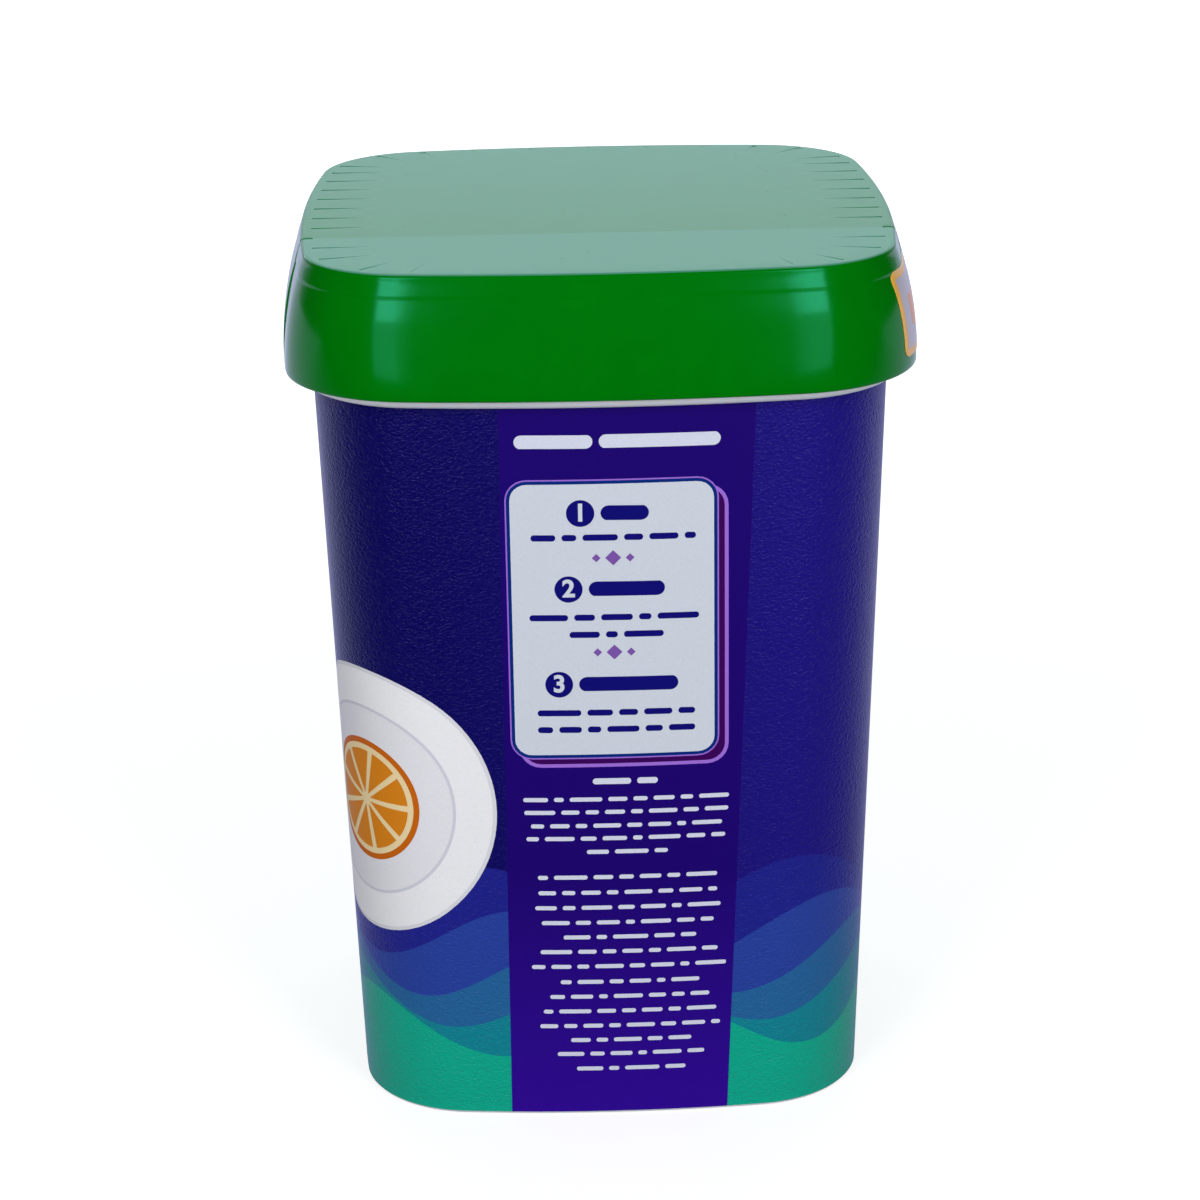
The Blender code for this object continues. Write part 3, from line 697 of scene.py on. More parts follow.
SINK_DEPTH = 0.13 * MM
DISH_DEPTH = 0.35 * MM
TOP_RINGS = 12
STEP_DEPTH = 0.4 * MM
STEP_RUN = 16 * MM
STEP_TOP = 1 / 1.1
STEP_FULLNESS = 0.8
GREENS = ("#006A04", "#007407")
# Pale blue-green bloom of the top: partly chalk, partly painted sheen
CHALK_AND_PAINTED_SHEEN = "#74B2B6"
DUST = "#0A3A12"


def eased(share):
    """A smooth rise from 0 to 1 as the share does."""
    share = min(max(share, 0.0), 1.0)
    return share * share * (3 - 2 * share)


def skirt_inset(height):
    """How far the skirt has drawn in at a height. Shrinkage leaves a faint hollow below the inner rim, which
    deepens slowly upwards and ends in a short step."""
    deepened = eased((height - SINK_HEIGHT + SINK_RUN) / (SINK_RUN - SINK_HALF))
    stepped = eased((height - SINK_HEIGHT + SINK_HALF) / (2 * SINK_HALF))
    return LID_FLARE * ((height - LID_EDGE) / LID_HEIGHT) ** 2 + SINK_DEPTH * deepened * (1 - stepped)


def lid_outline(height, inset=0.0):
    """The skirt's outline at a height, moved inwards by inset."""
    share = (height - LID_EDGE) / LID_HEIGHT
    corner = LID_EDGE_CORNER + (LID_TOP_CORNER - LID_EDGE_CORNER) * share
    return rounded_square(LID_HALF - skirt_inset(height) - inset, LID_SIDE_RADIUS - inset, corner - inset)


def top_dish(x, y):
    """The flip lid's panel has shrunk a little hollow between the hinge and its front edge."""
    run = (y - HINGE_Y) / (LID_HALF - LID_FLARE - HINGE_Y)
    if run <= 0:
        return 0.0
    return DISH_DEPTH * math.sin(math.pi * min(run, 1)) * max(1 - (x / LID_HALF) ** 2, 0)


def step_in(point):
    """How far the rear cover's side stands in beside the seam: its skirt springs in a little halfway up."""
    share = min(max((point.z - LID_EDGE) / LID_HEIGHT, 0.0), 1.0)
    bow = math.sin(math.pi * min(share / STEP_TOP, 1.0)) ** STEP_FULLNESS
    return STEP_DEPTH * eased((point.y - HINGE_Y + STEP_RUN) / STEP_RUN) * bow


def lid_shell():
    """The whole lid's shell, from the middle of its top, down the outside and back up the inside."""
    brow_foot = LID_TOP - BROW
    top_edge = lid_outline(brow_foot, BROW)
    shares = [ring / (TOP_RINGS + 1) for ring in range(1, TOP_RINGS + 1)]
    rings = [([point * share for point in top_edge], LID_TOP) for share in shares]
    for across, along in quarter_round(BROW_STEPS):
        rings.append((lid_outline(brow_foot, BROW * (1 - along)), LID_TOP - BROW * (1 - across)))
    half_wall = LID_WALL / 2
    drop = LID_EDGE + half_wall - brow_foot
    heights = [brow_foot + drop * step / SKIRT_ROWS for step in range(1, SKIRT_ROWS + 1)]
    heights = [height for height in heights if abs(height - SINK_HEIGHT) > SINK_BAND + 0.2 * SINK_HALF]
    heights += [SINK_HEIGHT + SINK_BAND * step / SINK_ROWS for step in range(-SINK_ROWS, SINK_ROWS + 1)]
    rings += [(lid_outline(height), height) for height in sorted(heights, reverse=True)]
    edge = quarter_round(EDGE_STEPS)
    for across, along in edge[1:]:
        rings.append((lid_outline(LID_EDGE, half_wall * (1 - across)), LID_EDGE + half_wall * (1 - along)))
    for across, along in edge[-2::-1]:
        inset = LID_WALL - half_wall * (1 - across)
        rings.append((lid_outline(LID_EDGE, inset), LID_EDGE + half_wall * (1 - along)))
    for share in (0.2, 0.4, 0.6, 0.8, 1.0):
        height = LID_EDGE + (LID_UNDERSIDE - LID_EDGE) * share
        rings.append((lid_outline(height, LID_WALL), height))
    return skin(laid_level(rings))


def moulded_green_polypropylene():
    """Green polypropylene: its eroded top has a pale chalky bloom in its colour, partly real bloom and partly
    painted sheen, and its skirt keeps a soft gloss.
    """
    material, tree, shader, place = new_material("moulded_green_polypropylene")
    where = add_node(tree, "ShaderNodeSeparateXYZ", {"Vector": place}).outputs
    high = add_node(tree, "ShaderNodeMapRange", {"Value": where["Z"], "From Min": LID_TOP - 0.6 * MM,
                                                 "From Max": LID_TOP - 0.4 * MM},
                    interpolation_type="SMOOTHSTEP")
    # The brow is polished: only what faces up is eroded
    facing = add_node(tree, "ShaderNodeSeparateXYZ", {"Vector": place.node.outputs["Normal"]}).outputs["Z"]
    flat = add_node(tree, "ShaderNodeMapRange", {"Value": facing, "From Min": 0.7, "From Max": 0.85})
    top = add_node(tree, "ShaderNodeMath", {0: high, 1: flat}, operation="MULTIPLY")
    # Masterbatch streaks of a few millimetres
    streak = add_node(tree, "ShaderNodeTexNoise", {"Vector": place, "Scale": 1 / (9 * MM), "Detail": 3.0})
    green_tint = mixed(tree, streak, *[colour(code) for code in GREENS])
    # The pale bloom, partly chalk and partly painted sheen, is stronger on the rear cover and at the front
    # edge, and weaker just past the hinge as painted shade
    front = add_node(tree, "ShaderNodeMapRange", {"Value": where["Y"], "From Min": HINGE_Y,
                                                  "From Max": LID_HALF})
    rear = add_node(tree, "ShaderNodeMath", {0: where["Y"], 1: HINGE_Y}, operation="LESS_THAN")
    ends = add_node(tree, "ShaderNodeMath", {0: front, 1: rear}, operation="MAXIMUM")
    painted_sheen_share = add_node(tree, "ShaderNodeMapRange", {"Value": ends, "To Min": 0.2, "To Max": 0.38})
    painted_sheen_on_top = add_node(tree, "ShaderNodeMath", {0: painted_sheen_share, 1: top}, operation="MULTIPLY")
    # Painted sheen: the top's colour, only where it faces up, is mixed towards the pale bloom
    tint = mixed(tree, painted_sheen_on_top, green_tint, colour(CHALK_AND_PAINTED_SHEEN))
    # Dust and small nicks on the top, about one in each 7 mm
    dust = add_node(tree, "ShaderNodeTexVoronoi", {"Vector": place, "Scale": 1 / (7 * MM)}).outputs
    speck = add_node(tree, "ShaderNodeMapRange", {"Value": dust["Distance"], "From Min": 0.025,
                                                  "From Max": 0.055, "To Min": 1.0, "To Max": 0.0})
    chance = add_node(tree, "ShaderNodeSeparateColor", {"Color": dust["Color"]}).outputs["Red"]
    some = add_node(tree, "ShaderNodeMath", {0: chance, 1: 0.55}, operation="GREATER_THAN")
    specks = add_node(tree, "ShaderNodeMath", {0: speck, 1: some}, operation="MULTIPLY")
    shown = add_node(tree, "ShaderNodeMath", {0: specks, 1: top}, operation="MULTIPLY")
    # Spark erosion of about 0.4 mm on the top, and a soft orange peel of 3 mm on the skirt
    eroded = add_node(tree, "ShaderNodeTexNoise", {"Vector": place, "Scale": 1 / (0.42 * MM), "Detail": 2.0})
    peel = add_node(tree, "ShaderNodeTexNoise", {"Vector": place, "Scale": 1 / (3 * MM), "Detail": 1.0})
    relief = add_node(tree, "ShaderNodeMix", {0: top, 2: peel, 3: eroded}, data_type="FLOAT")
    depth = add_node(tree, "ShaderNodeMapRange", {"Value": top, "To Min": 0.012 * MM, "To Max": 0.05 * MM})
    bump = add_node(tree, "ShaderNodeBump", {"Height": relief, "Strength": 0.6, "Distance": depth})
    rough = add_node(tree, "ShaderNodeMapRange", {"Value": top, "To Min": 0.14, "To Max": 0.46})
    set_inputs(tree, shader, {"Base Color": mixed(tree, shown, tint, colour(DUST)), "Normal": bump,
                              "Roughness": rough, "IOR": PLASTIC_IOR, "Specular IOR Level": 0.3,
                              "Specular Tint": colour("#58FCD8")})
    return material


def past_hinge(side):
    """All that lies past one side of the hinge: along the web the part ends where the hinge strip begins."""
    far = 0.5
    seam, web = HINGE_Y + side * SEAM_HALF, HINGE_Y + side * WEB_HALF
    plan = ((-far, -side * far), (far, -side * far), (far, seam), (SLOT_END, seam), (SLOT_END, web),
            (-SLOT_END, web), (-SLOT_END, seam), (-far, seam))
    return finished("past_hinge", skin([[(x, y, height) for x, y in plan] for height in (0.0, far)]), green)


def applied(piece):
    """Turns what a piece's modifiers give into its plain mesh, with its real edges sharp."""
    mesh = bpy.data.meshes.new_from_object(piece.evaluated_get(bpy.context.evaluated_depsgraph_get()))
    piece.modifiers.clear()
    old, piece.data = piece.data, mesh
    bpy.data.meshes.remove(old)
    mesh.shade_smooth()
    mesh.set_sharp_from_angle(angle=math.radians(30))


def carved(piece, steps):
    """Runs Boolean steps on a piece, each with its cutter or fitting, and removes those."""
    for operation, other in steps:
        boolean = piece.modifiers.new(other.name, "BOOLEAN")
        boolean.operation = operation
        boolean.solver = "EXACT"
        # Neighbouring wedges cross where the corner fans in
        boolean.use_self = other.name == "pleats"
        boolean.object = other
    applied(piece)
    for _, other in steps:
        bpy.data.objects.remove(other)


def round_seam(piece):
    """Rounds the lips of the seam, and leaves the edges beside the hinge strip as they are."""
    bm = bmesh.new()
    bm.from_mesh(piece.data)
    weights = bm.edges.layers.float.new("bevel_weight_edge")
    for edge in bm.edges:
        on_seam = all(abs(abs(vert.co.y - HINGE_Y) - SEAM_HALF) < 0.01 * MM for vert in edge.verts)
        if on_seam and edge.is_manifold and edge.calc_face_angle() > math.radians(50):
            edge[weights] = 1.0
    bm.to_mesh(piece.data)
    bm.free()
    bevel = piece.modifiers.new("rounded_lips", "BEVEL")
    bevel.width = SEAM_ROUND
    bevel.segments = 3
    bevel.limit_method = "WEIGHT"
    applied(piece)


green = moulded_green_polypropylene()

# The pleats. Shallow wedges pressed into the top, square to its edge along the sides and fanned in the
# corners: a steep flank that reads as a dark line, and a long ramp beside it.
SIDE_PLEAT_PITCH = 11.5 * MM
END_PLEAT_PITCH = 16.3 * MM
PLEAT_LENGTH = 15.0 * MM
PLEAT_SETBACK = 1.6 * MM
PLEAT_WIDTH = 1.6 * MM
PLEAT_STEEP = 0.3 * MM
PLEAT_DEPTH = 0.18 * MM
PLEAT_RISE = 0.03 * MM
# Shares of the full width, length and depth
SIDE_PLEAT = (1, 1, 1)
END_PLEAT = (0.6, 0.5, 0.35)
# Each corner pleat: its place round the corner, its lean and its share of the full length
CORNER_PLEATS = ((21.5, 12.5, 0.9), (58.0, 44.0, 0.75), (88.0, 70.0, 0.65))
PLEAT_RUN = LID_HALF - LID_TOP_CORNER - 2 * PLEAT_WIDTH


def edge_point(outline, direction):
    """Where the ray from the middle in this direction crosses the outline."""
    for first, second in zip(outline, outline[1:] + outline[:1]):
        before = direction.x * first.y - direction.y * first.x
        after = direction.x * second.y - direction.y * second.x
        if before <= 0 < after and first.dot(direction) > 0:
            return first.lerp(second, before / (before - after))
    return outline[0]


def pleat_places():
    """Start on the top's edge, way inwards and shares of the full size of each pleat."""
    outline = lid_outline(LID_TOP - BROW, BROW)
    half = max(point.x for point in outline)
    radius = LID_TOP_CORNER - BROW
    centre = corner_arc(half, LID_SIDE_RADIUS - BROW, radius)[0]
    side_count = int((PLEAT_RUN - HINGE_Y) / SIDE_PLEAT_PITCH)
    end_count = int(PLEAT_RUN / END_PLEAT_PITCH)
    places = []
    for side in (-1, 1):
        for number in range(-side_count, side_count + 1):
            y = HINGE_Y + number * SIDE_PLEAT_PITCH
            if number and abs(y) < PLEAT_RUN:
                places.append((edge_point(outline, Vector((side * half, y))), Vector((-side, 0)), SIDE_PLEAT))
        for number in range(-end_count, end_count + 1):
            start = edge_point(outline, Vector((number * END_PLEAT_PITCH, side * half)))
            places.append((start, Vector((0, -side)), END_PLEAT))
        for end in (-1, 1):
            for place, lean, share in CORNER_PLEATS:
                place, lean = math.radians(place), math.radians(lean)
                across, along = centre + radius * math.cos(place), centre + radius * math.sin(place)
                inward = Vector((-side * math.cos(lean), -end * math.sin(lean)))
                places.append((Vector((side * across, end * along)), inward, (1, share, 1)))
    return places


def pleat_tree():
    """Puts a three-sided wedge on each point, turned to the point's way inwards, its ramp on one flank."""
    tree, given = placing_tree("pressed_pleats", [(name, "Float") for name in
                                                  ("Length", "Ramp", "Steep", "Depth", "Rise")])
    deep, steep = [add_node(tree, "ShaderNodeMath", {0: given[name], 1: -1.0}, operation="MULTIPLY")
                   for name in ("Depth", "Steep")]
    wedge = add_node(tree, "GeometryNodeMeshCone", {"Vertices": 3, "Radius Top": 0.0, "Radius Bottom": 1.0,
                                                    "Depth": 1.0})
    corner = add_node(tree, "GeometryNodeIndexSwitch", {"Index": add_node(tree, "GeometryNodeInputIndex")},
                      data_type="VECTOR")
    # The wedge's four points: its low edge's start, the ramp's foot, the steep flank's foot and its tip
    points = ({"Z": deep}, {"X": given["Ramp"], "Z": given["Rise"]}, {"X": steep, "Z": given["Rise"]},
              {"Y": given["Length"], "Z": given["Rise"]})
    while len(corner.index_switch_items) < len(points):
        corner.index_switch_items.new()
    set_inputs(tree, corner, {number + 1: add_node(tree, "ShaderNodeCombineXYZ", point)
                              for number, point in enumerate(points)})
    shaped = add_node(tree, "GeometryNodeSetPosition", {"Geometry": wedge, "Position": corner})
    inward, share = [add_node(tree, "GeometryNodeInputNamedAttribute", {"Name": name},
                              data_type="FLOAT_VECTOR") for name in ("inward", "share")]
    turned = add_node(tree, "FunctionNodeAlignRotationToVector", {"Vector": inward}, axis="Y", pivot_axis="Z")
    set_out = add_node(tree, "GeometryNodeInstanceOnPoints", {"Points": given["Places"], "Instance": shaped,
                                                              "Rotation": turned, "Scale": share})
    real = add_node(tree, "GeometryNodeRealizeInstances", {"Geometry": set_out})
    inked = add_node(tree, "GeometryNodeSetMaterial", {"Geometry": real, "Material": given["Material"]})
    add_node(tree, "NodeGroupOutput", {"Mesh": inked})
    return tree


def pleat_cutter(side):
    """The wedges for one part of the lid, as a cutter, in two hands, because every ramp lies to the rear."""
    past = 1 + PLEAT_RISE / PLEAT_DEPTH
    tree = pleat_tree()
    bm = bmesh.new()
    for hand in (-1, 1):
        spots, ways, shares = [], [], []
        for point, inward, share in pleat_places():
            start = point + inward * PLEAT_SETBACK
            if side * (start.y - HINGE_Y) > 0 and hand * (inward.x - inward.y / 10) > 0:
                spots.append((start.x, start.y, LID_TOP))
                ways += (inward.x, inward.y, 0)
                shares += share
        ramp, steep = (PLEAT_WIDTH * past, PLEAT_STEEP * past)[::hand]
        grow(bm, tree, spots, {"inward": ("FLOAT_VECTOR", ways), "share": ("FLOAT_VECTOR", shares)},
             {"Length": PLEAT_LENGTH * past, "Ramp": ramp, "Steep": steep, "Depth": PLEAT_DEPTH,
              "Rise": PLEAT_RISE, "Material": green})
    return finished("pleats", bm, green)


# The sealing rings. One hangs under each part of the lid, moulded with it, a thin D-shaped wall that plugs
# the mouth of the tub.
RING_CLEARANCE = 0.5 * MM
RING_WALL = 1.2 * MM
RING_DEPTH = 6.0 * MM
RING_DRAFT = 0.4 * MM
RING_TO_HINGE = 5.0 * MM
RING_ROOT = 0.5 * MM
RING_BEVEL = 0.3 * MM


def sealing_ring(side):
    """A closed D-shaped wall: down the outside, across the foot and up the inside."""
    straight = HINGE_Y + side * RING_TO_HINGE
    clear = TUB_WALL + RING_CLEARANCE
    guide = [side * (point.y - straight) > RING_WALL for point in neck_outline(clear)]
    foot, root = LID_UNDERSIDE - RING_DEPTH, LID_UNDERSIDE + RING_ROOT
    # Each ring of points: how far in from the mouth, how far in from the straight part, and its height
    levels = ((0.0, 0.0, root), (RING_DRAFT, 0.0, foot + RING_BEVEL),
              (RING_DRAFT + RING_BEVEL, RING_BEVEL, foot),
              (RING_DRAFT + RING_WALL - RING_BEVEL, RING_WALL - RING_BEVEL, foot),
              (RING_DRAFT + RING_WALL, RING_WALL, foot + RING_BEVEL), (RING_WALL, RING_WALL, root))
    rings = []
    for inset, flat, height in levels:
        outline = neck_outline(clear + inset)
        line = straight + side * flat
        kept = []
        for i, point in enumerate(outline):
            j = (i + 1) % len(outline)
            if guide[i]:
                kept.append(point)
            if guide[i] != guide[j]:
                kept.append(point.lerp(outline[j], (line - point.y) / (outline[j].y - point.y)))
        rings.append((kept, height))
    return finished("sealing_ring", skin(laid_level(rings), ends=False), green)


def lid_part(name, body, replaced, shell, side, fittings):
    """One part of the lid: cut out of the shell, its seam rounded, its pleats pressed in, its fittings on."""
    part = finished(name, shell, green)
    carved(part, [("DIFFERENCE", past_hinge(side))])
    round_seam(part)
    carved(part, [("DIFFERENCE", pleat_cutter(side)), ("UNION", sealing_ring(side))]
           + [("UNION", fitting) for fitting in fittings])
    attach(part, body)
    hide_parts(replaced)
    return part


# The rear cover. It stays on the tub: three lugs inside its skirt, moulded with it, are clamped under the
# bead of the neck. Its sides spring in a little beside the seam.
LUG_WIDTH = 12.0 * MM
LUG_HEIGHT = 3.0 * MM
LUG_CLEARANCE = 0.3 * MM
LUG_SPACING = 38.0 * MM


def side_bow(radius, offset):
    return radius - math.sqrt(radius ** 2 - offset ** 2)


def lug(offset):
    """One lug with the gusset under it, from the neck out into the skirt's wall."""
    high = BEAD_FOOT - LUG_CLEARANCE
    low = high - LUG_HEIGHT
    nearest = max(abs(offset) - LUG_WIDTH / 2, 0.0)
    inner = tub_half(SHOULDER) - side_bow(TUB_SIDE_RADIUS, nearest) + LUG_CLEARANCE
    furthest = abs(offset) + LUG_WIDTH / 2
    skirt = LID_HALF - LID_WALL / 2 - side_bow(LID_SIDE_RADIUS, furthest) - skirt_inset(high)
    section = ((inner, high), (skirt, high), (skirt, low - LUG_HEIGHT), (inner, low))
    flanks = [[(offset + end, -out, height) for out, height in section]
              for end in (-LUG_WIDTH / 2, LUG_WIDTH / 2)]
    return finished("lug", skin(flanks), green)


rear_shell = lid_shell()
for vert in rear_shell.verts:
    if abs(vert.co.x) > SLOT_END and vert.co.y < 0:
        vert.co.x -= math.copysign(step_in(vert.co), vert.co.x)
lid_part("rear_cover_top", "container", "rear_cover", rear_shell, -1,
         [lug(offset) for offset in (-LUG_SPACING, 0.0, LUG_SPACING)])

# The flip lid. It turns up on the hinge, and a thumb lip, moulded with it, stands out at the front of its
# skirt. Its top has shrunk into a shallow dish.
THUMB_HALF = 18.0 * MM
THUMB_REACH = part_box("flip_lid")[1].y - LID_HALF
THUMB_THICKNESS = 1.8 * MM
THUMB_BEVEL = 0.35 * MM


def thumb_lip():
    """A shallow tongue with rounded ends, rooted in the skirt's wall."""
    back, front = LID_HALF - LID_WALL / 2, LID_HALF + THUMB_REACH
    plan = [(THUMB_HALF + THUMB_REACH, back)]
    for across, along in quarter_round(BROW_STEPS):
        plan.append((THUMB_HALF + THUMB_REACH * across, front - THUMB_REACH * (1 - along)))
    plan += [(-x, y) for x, y in reversed(plan)]
    foot = LID_EDGE + LID_WALL / 3
    levels = ((THUMB_BEVEL, 0.0), (0.0, THUMB_BEVEL), (0.0, THUMB_THICKNESS - THUMB_BEVEL),
              (THUMB_BEVEL, THUMB_THICKNESS))
    loops = [[(x, y - (inset if y > LID_HALF else 0), foot + rise) for x, y in plan]
             for inset, rise in levels]
    return finished("thumb_lip", skin(loops), green)


flip_lid_top = lid_part("flip_lid_top", "lid", "flip_lid", lid_shell(), 1, [thumb_lip()])
for vert in flip_lid_top.data.vertices:
    if vert.co.z > LID_TOP - BROW:
        vert.co.z -= top_dish(vert.co.x, vert.co.y)

# The living hinge. The same moulding, thinned to a web across the middle of the top between the two slots.
# It is flush with the panels when shut.
HINGE_COLUMNS = 30
HINGE_ROWS = 16
WEB_FLAT = 0.12


def slab(name, grids, material):
    """A closed slab between two like grids, each of columns of points."""
    bm = bmesh.new()
    grids = [[[bm.verts.new(point) for point in column] for column in grid] for grid in grids]
    first, second = grids
    columns, rows = len(first) - 1, len(first[0]) - 1
    for left, right in zip(range(columns), range(1, columns + 1)):
        for low, high in zip(range(rows), range(1, rows + 1)):
            for grid in grids:
                bm.faces.new((grid[left][low], grid[right][low], grid[right][high], grid[left][high]))
        for row in (0, rows):
            bm.faces.new((first[left][row], first[right][row], second[right][row], second[left][row]))
    for low, high in zip(range(rows), range(1, rows + 1)):
        for column in (0, columns):
            bm.faces.new((first[column][low], first[column][high], second[column][high], second[column][low]))
    return finished(name, bm, material)


def hinge_side(under):
    """The hinge strip's top, or its underside, which thins from the lid's wall to the web."""
    grid = []
    for column in range(HINGE_COLUMNS + 1):
        x = SLOT_END * (2 * column / HINGE_COLUMNS - 1)
        points = []
        for row in range(HINGE_ROWS + 1):
            y = HINGE_Y + WEB_HALF * (2 * row / HINGE_ROWS - 1)
            off = min(max((abs(y - HINGE_Y) / WEB_HALF - WEB_FLAT) / (1 - WEB_FLAT), 0.0), 1.0)
            drop = WEB_THICKNESS + (LID_WALL - WEB_THICKNESS) * off if under else 0.0
            points.append((x, y, LID_TOP - top_dish(x, y) - drop))
        grid.append(points)
    return grid


hinge_strip = slab("living_hinge", [hinge_side(under) for under in (False, True)], green)
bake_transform(hinge_strip)

# The sticker. A glossy paper patch on the right of the rear cover's skirt, printed with an amber border
# round a pale field and an orange block. Its glue holds it to the skirt from behind the seam into the corner.
STICKER_HEIGHT = 21.5 * MM
STICKER_ABOVE_EDGE = 3.8 * MM
STICKER_START = 3.0 * MM
STICKER_LENGTH = 27.0 * MM
STICKER_CORNER = 2.5 * MM
FIELD_CORNER = 0.6 * MM
STICKER_LIFT = 0.15 * MM
STICKER_THICKNESS = 0.15 * MM
PRINT_THICKNESS = 0.02 * MM
STICKER_BORDER = 1.9 * MM
BLOCK_INSET = 5 * MM
STICKER_COLUMNS = 40
STICKER_ROWS = 24
# Each sheet: its name, border, lift, thickness, paper and colour
SHEETS = (
    ("sticker_paper", 0.0, STICKER_LIFT - 0.1 * MM, STICKER_THICKNESS, "amber_sticker_paper", "#F2B43C"),
    ("sticker_field", STICKER_BORDER, STICKER_LIFT + STICKER_THICKNESS - 0.09 * MM, PRINT_THICKNESS,
     "pale_sticker_print", "#B9B4C4"),
    ("sticker_block", STICKER_BORDER + BLOCK_INSET, STICKER_LIFT + STICKER_THICKNESS - 0.07 * MM,
     PRINT_THICKNESS, "orange_sticker_print", "#E08A34"),
)


def skirt_path(height, lift):
    """The skirt's outline at a height, clockwise from the sticker's start towards the rear corner."""
    outline = lid_outline(height, -lift)
    clockwise = outline[SIDE_STEPS::-1] + outline[:SIDE_STEPS:-1]
    start_y = HINGE_Y - STICKER_START
    number = next(i for i, point in enumerate(clockwise) if point.y < start_y)
    first, second = clockwise[number - 1], clockwise[number]
    return [first.lerp(second, (first.y - start_y) / (first.y - second.y))] + clockwise[number:]


def walk(path, distance):
    """The point this far along a path."""
    for first, second in zip(path, path[1:]):
        length = (second - first).length
        if distance <= length:
            return first.lerp(second, distance / length)
        distance -= length
    return path[-1]


def sheet_side(border, lift):
    """A grid of points over a sheet with round corners, drawn in from the sticker's edge by border."""
    corner = max(STICKER_CORNER - border, FIELD_CORNER)
    length, tall = STICKER_LENGTH - 2 * border, STICKER_HEIGHT - 2 * border
    foot = LID_EDGE + STICKER_ABOVE_EDGE + border
    grid = []
    for column in range(STICKER_COLUMNS + 1):
        distance = length * (1 - math.cos(math.pi * column / STICKER_COLUMNS)) / 2
        end = min(distance, length - distance, corner)
        trim = corner - math.sqrt(corner ** 2 - (corner - end) ** 2)
        heights = [foot + trim + (tall - 2 * trim) * row / STICKER_ROWS for row in range(STICKER_ROWS + 1)]
        grid.append([(*walk(skirt_path(height, lift), border + distance), height) for height in heights])
    return grid


def coated_paper(name, code):
    """Coated paper under a thin varnish: flat colour with a faint fibre mottle and a clear gloss."""
    material, tree, shader, place = new_material(name)
    fibre = add_node(tree, "ShaderNodeTexNoise", {"Vector": place, "Scale": 1 / (0.6 * MM), "Detail": 3.0})
    base = colour(code)
    tint = mixed(tree, fibre, (*[0.88 * part for part in base[:3]], 1.0), base)
    bump = add_node(tree, "ShaderNodeBump", {"Height": fibre, "Strength": 0.3, "Distance": 0.02 * MM})
    set_inputs(tree, shader, {"Base Color": tint, "Normal": bump, "Roughness": 0.4, "Coat Weight": 0.4,
                              "Coat Roughness": 0.2})
    return material


for name, border, lift, thickness, paper, code in SHEETS:
    sides = [sheet_side(border, level) for level in (lift, lift + thickness)]
    sheet = slab(name, sides, coated_paper(paper, code))
    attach(sheet, "container")
    if name == "sticker_paper":
        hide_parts("side_sticker")

# The studio. A plain pale floor, white in the camera's eye but with the tub's shadow on it, a high and a low
# soft box at each side of the camera, a broad one behind the tub, and a white surround behind.
FLOOR_HALF = 6.0
FLOOR_GLOW = 0.74
MIRRORED_WHITE = "#D8DCFF"
SURROUND_WHITE = "#D6DAFF"
FILL = 0.3
# Each soft box: its azimuth and elevation in degrees, distance, width, height, watts and tint. Azimuth 0 is
# in front, and positive is to the right
SOFT_BOXES = {
    "soft_box_left": (-27, 28, 1.25, 0.38, 0.43, 4.7, "#FFFFFF"),
    "soft_box_left_low": (-27, 7.5, 1.25, 0.42, 0.5, 1.7, "#FFFFFF"),
    "soft_box_right": (28, 28, 1.25, 0.38, 0.43, 4.7, "#FFFFFF"),
    "soft_box_right_low": (28, 7.5, 1.25, 0.42, 0.5, 1.7, "#FFFFFF"),
    "soft_box_back": (180, 30, 1.5, 1.8, 0.9, 11.2, "#E6FFF4"),
}
MIDDLE_OF_TUB = Vector((0, 0, 0.12))


def pale_floor_paper():
    """Matt pale paper. The eye sees it white, and reflections see it dark in front of the tub, where the room
    is, and behind it a glow of painted light that no lamp casts."""
    material, tree, shader, ground = new_material("pale_floor_paper")
    set_inputs(tree, shader, {"Base Color": colour("#A8A8AA"), "Roughness": 0.9, "Specular IOR Level": 0.1})
    path = add_node(tree, "ShaderNodeLightPath").outputs
    # Round the tub the lamps bring it up to white outside the shadow, and further off it is white itself
    apart = add_node(tree, "ShaderNodeVectorMath", {0: ground}, operation="LENGTH").outputs["Value"]
    white = add_node(tree, "ShaderNodeMapRange", {"Value": apart, "From Min": 0.25, "From Max": 0.9,
                                                  "To Min": FLOOR_GLOW}, interpolation_type="SMOOTHSTEP")
    seen = add_node(tree, "ShaderNodeMath", {0: path["Is Camera Ray"], 1: white}, operation="MULTIPLY")
    along = add_node(tree, "ShaderNodeSeparateXYZ", {"Vector": ground}).outputs["Y"]
    behind = add_node(tree, "ShaderNodeMapRange", {"Value": along, "From Min": -0.33, "From Max": 0.3,
                                                   "To Min": 0.02}, interpolation_type="SMOOTHSTEP")
    glow = add_node(tree, "ShaderNodeEmission", {"Color": (1, 1, 1, 1), "Strength": seen})
    lit = add_node(tree, "ShaderNodeAddShader", {0: shader, 1: glow})
    # Painted light: behind the tub the floor glows, for reflections only
    glow_for_reflections = add_node(tree, "ShaderNodeEmission", {"Color": colour(MIRRORED_WHITE), "Strength": behind})
    either = add_node(tree, "ShaderNodeMixShader", {0: path["Is Glossy Ray"], 1: lit, 2: glow_for_reflections})
    set_inputs(tree, tree.nodes["Material Output"], {"Surface": either})
    return material


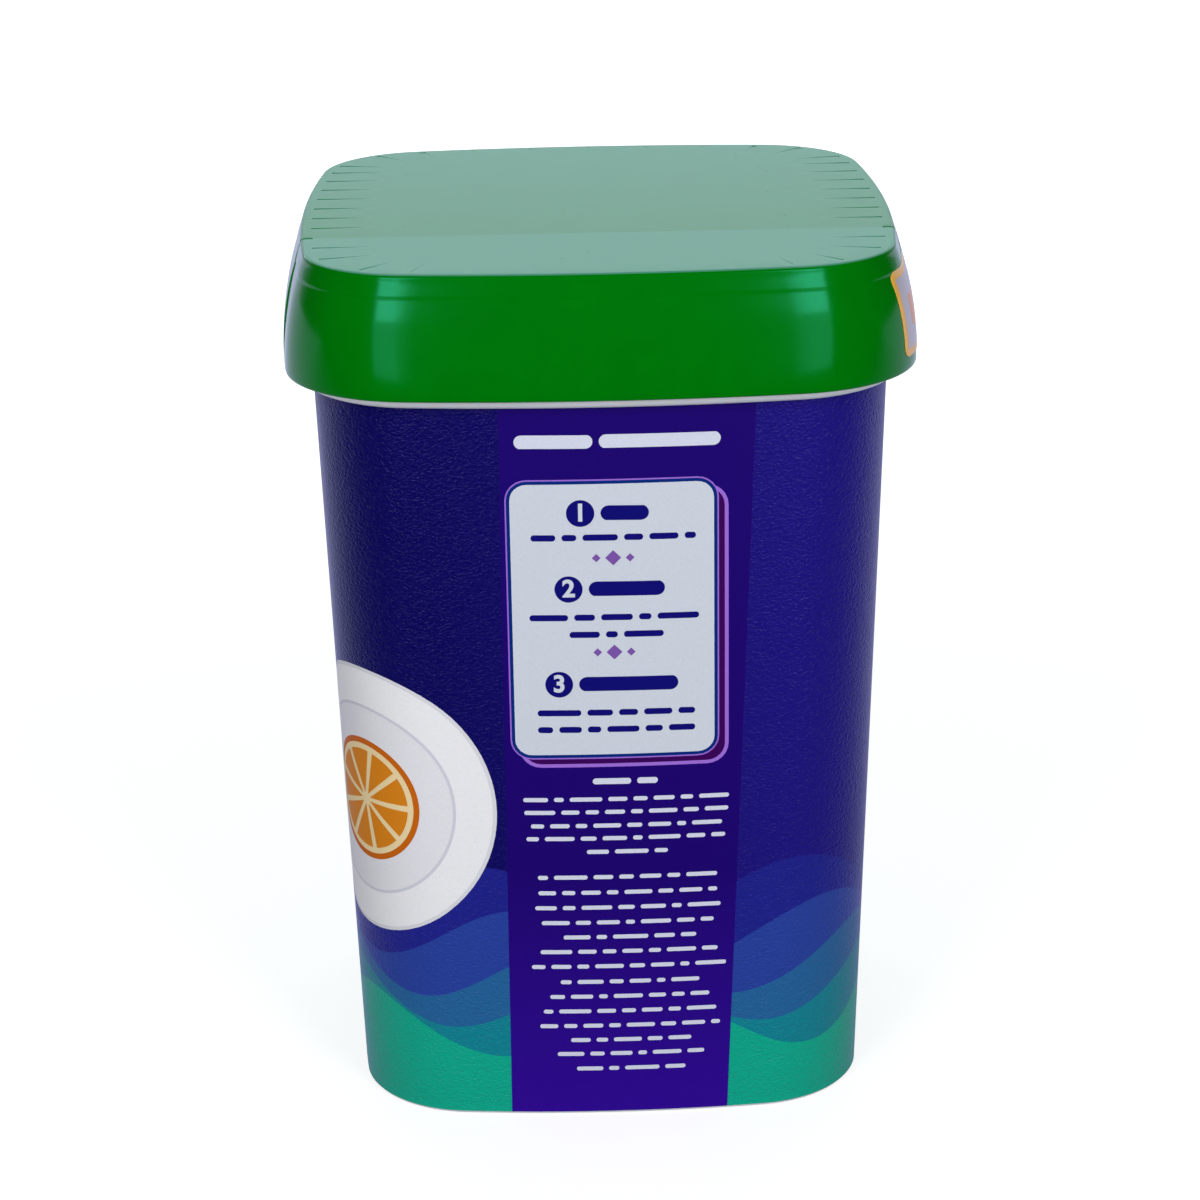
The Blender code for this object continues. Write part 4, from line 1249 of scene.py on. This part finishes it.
def soft_box(name, azimuth, elevation, distance, width, height, watts, tint):
    """A rectangular soft box that looks at the middle of the tub."""
    lamp = bpy.data.lights.new(name, "AREA")
    lamp.shape = "RECTANGLE"
    lamp.size, lamp.size_y = width, height
    lamp.energy = watts
    lamp.color = colour(tint)[:3]
    side, up = math.radians(azimuth), math.radians(elevation)
    back = Vector((math.sin(side) * math.cos(up), -math.cos(side) * math.cos(up), math.sin(up)))
    holder = bpy.data.objects.new(name, lamp)
    holder.location = back * distance + MIDDLE_OF_TUB
    holder.rotation_euler = back.to_track_quat("Z", "Y").to_euler()
    bpy.context.scene.collection.objects.link(holder)


def white_surround():
    """White to the eye and in reflections from behind, grey as fill, and dark in front, where the room is."""
    world = bpy.data.worlds.new("white_surround")
    world.use_nodes = True
    bpy.context.scene.world = world
    tree = world.node_tree
    path = add_node(tree, "ShaderNodeLightPath").outputs
    view = add_node(tree, "ShaderNodeTexCoord").outputs["Generated"]
    way = add_node(tree, "ShaderNodeSeparateXYZ", {"Vector": view}).outputs["Y"]
    behind = add_node(tree, "ShaderNodeMapRange", {"Value": way, "From Min": 0.48, "From Max": 0.92,
                                                   "To Min": 0.02, "To Max": 0.85},
                      interpolation_type="SMOOTHSTEP")
    glossy = add_node(tree, "ShaderNodeMath", {0: path["Is Glossy Ray"], 1: behind}, operation="MULTIPLY")
    seen = add_node(tree, "ShaderNodeMath", {0: path["Is Camera Ray"], 1: path["Is Transmission Ray"]},
                    operation="MAXIMUM")
    direct = add_node(tree, "ShaderNodeMath", {0: seen, 1: glossy}, operation="MAXIMUM")
    fill = add_node(tree, "ShaderNodeMath", {0: path["Is Diffuse Ray"], 1: FILL}, operation="MULTIPLY")
    strength = add_node(tree, "ShaderNodeMath", {0: direct, 1: fill}, operation="MAXIMUM")
    hue = mixed(tree, path["Is Glossy Ray"], (1, 1, 1, 1), colour(SURROUND_WHITE))
    set_inputs(tree, tree.nodes["Background"], {"Color": hue, "Strength": strength})


floor = bmesh.new()
floor.faces.new([floor.verts.new((x * FLOOR_HALF, y * FLOOR_HALF, -0.1 * MM))
                 for x, y in ((-1, -1), (1, -1), (1, 1), (-1, 1))])
finished("floor", floor, pale_floor_paper())
white_surround()
for name, settings in SOFT_BOXES.items():
    soft_box(name, *settings)

# The camera stands where the photograph was taken from, behind the tub and a little above it.
LENS = 98.85
CAMERA_PLACE = Vector((-0.0174, -0.8467, 0.4184))
PITCH, YAW, ROLL = math.radians(19.394), math.radians(1.1533), math.radians(-0.9307)

camera_data = bpy.data.cameras.new("camera")
camera_data.lens = LENS
camera_data.sensor_width = 36.0
camera_data.clip_start = 0.05
camera = bpy.data.objects.new("camera", camera_data)
bpy.context.scene.collection.objects.link(camera)
forward = Vector((math.sin(YAW) * math.cos(PITCH), math.cos(YAW) * math.cos(PITCH), -math.sin(PITCH)))
level = Vector((math.cos(YAW), -math.sin(YAW), 0))
upward = level.cross(forward)
right = math.cos(ROLL) * level + math.sin(ROLL) * upward
upward = math.cos(ROLL) * upward - math.sin(ROLL) * level
aim = Matrix((right, upward, -forward)).transposed().to_4x4()
camera.matrix_world = Matrix.Translation(CAMERA_PLACE) @ aim
bpy.context.scene.camera = camera
bpy.context.scene.view_settings.view_transform = "Standard"
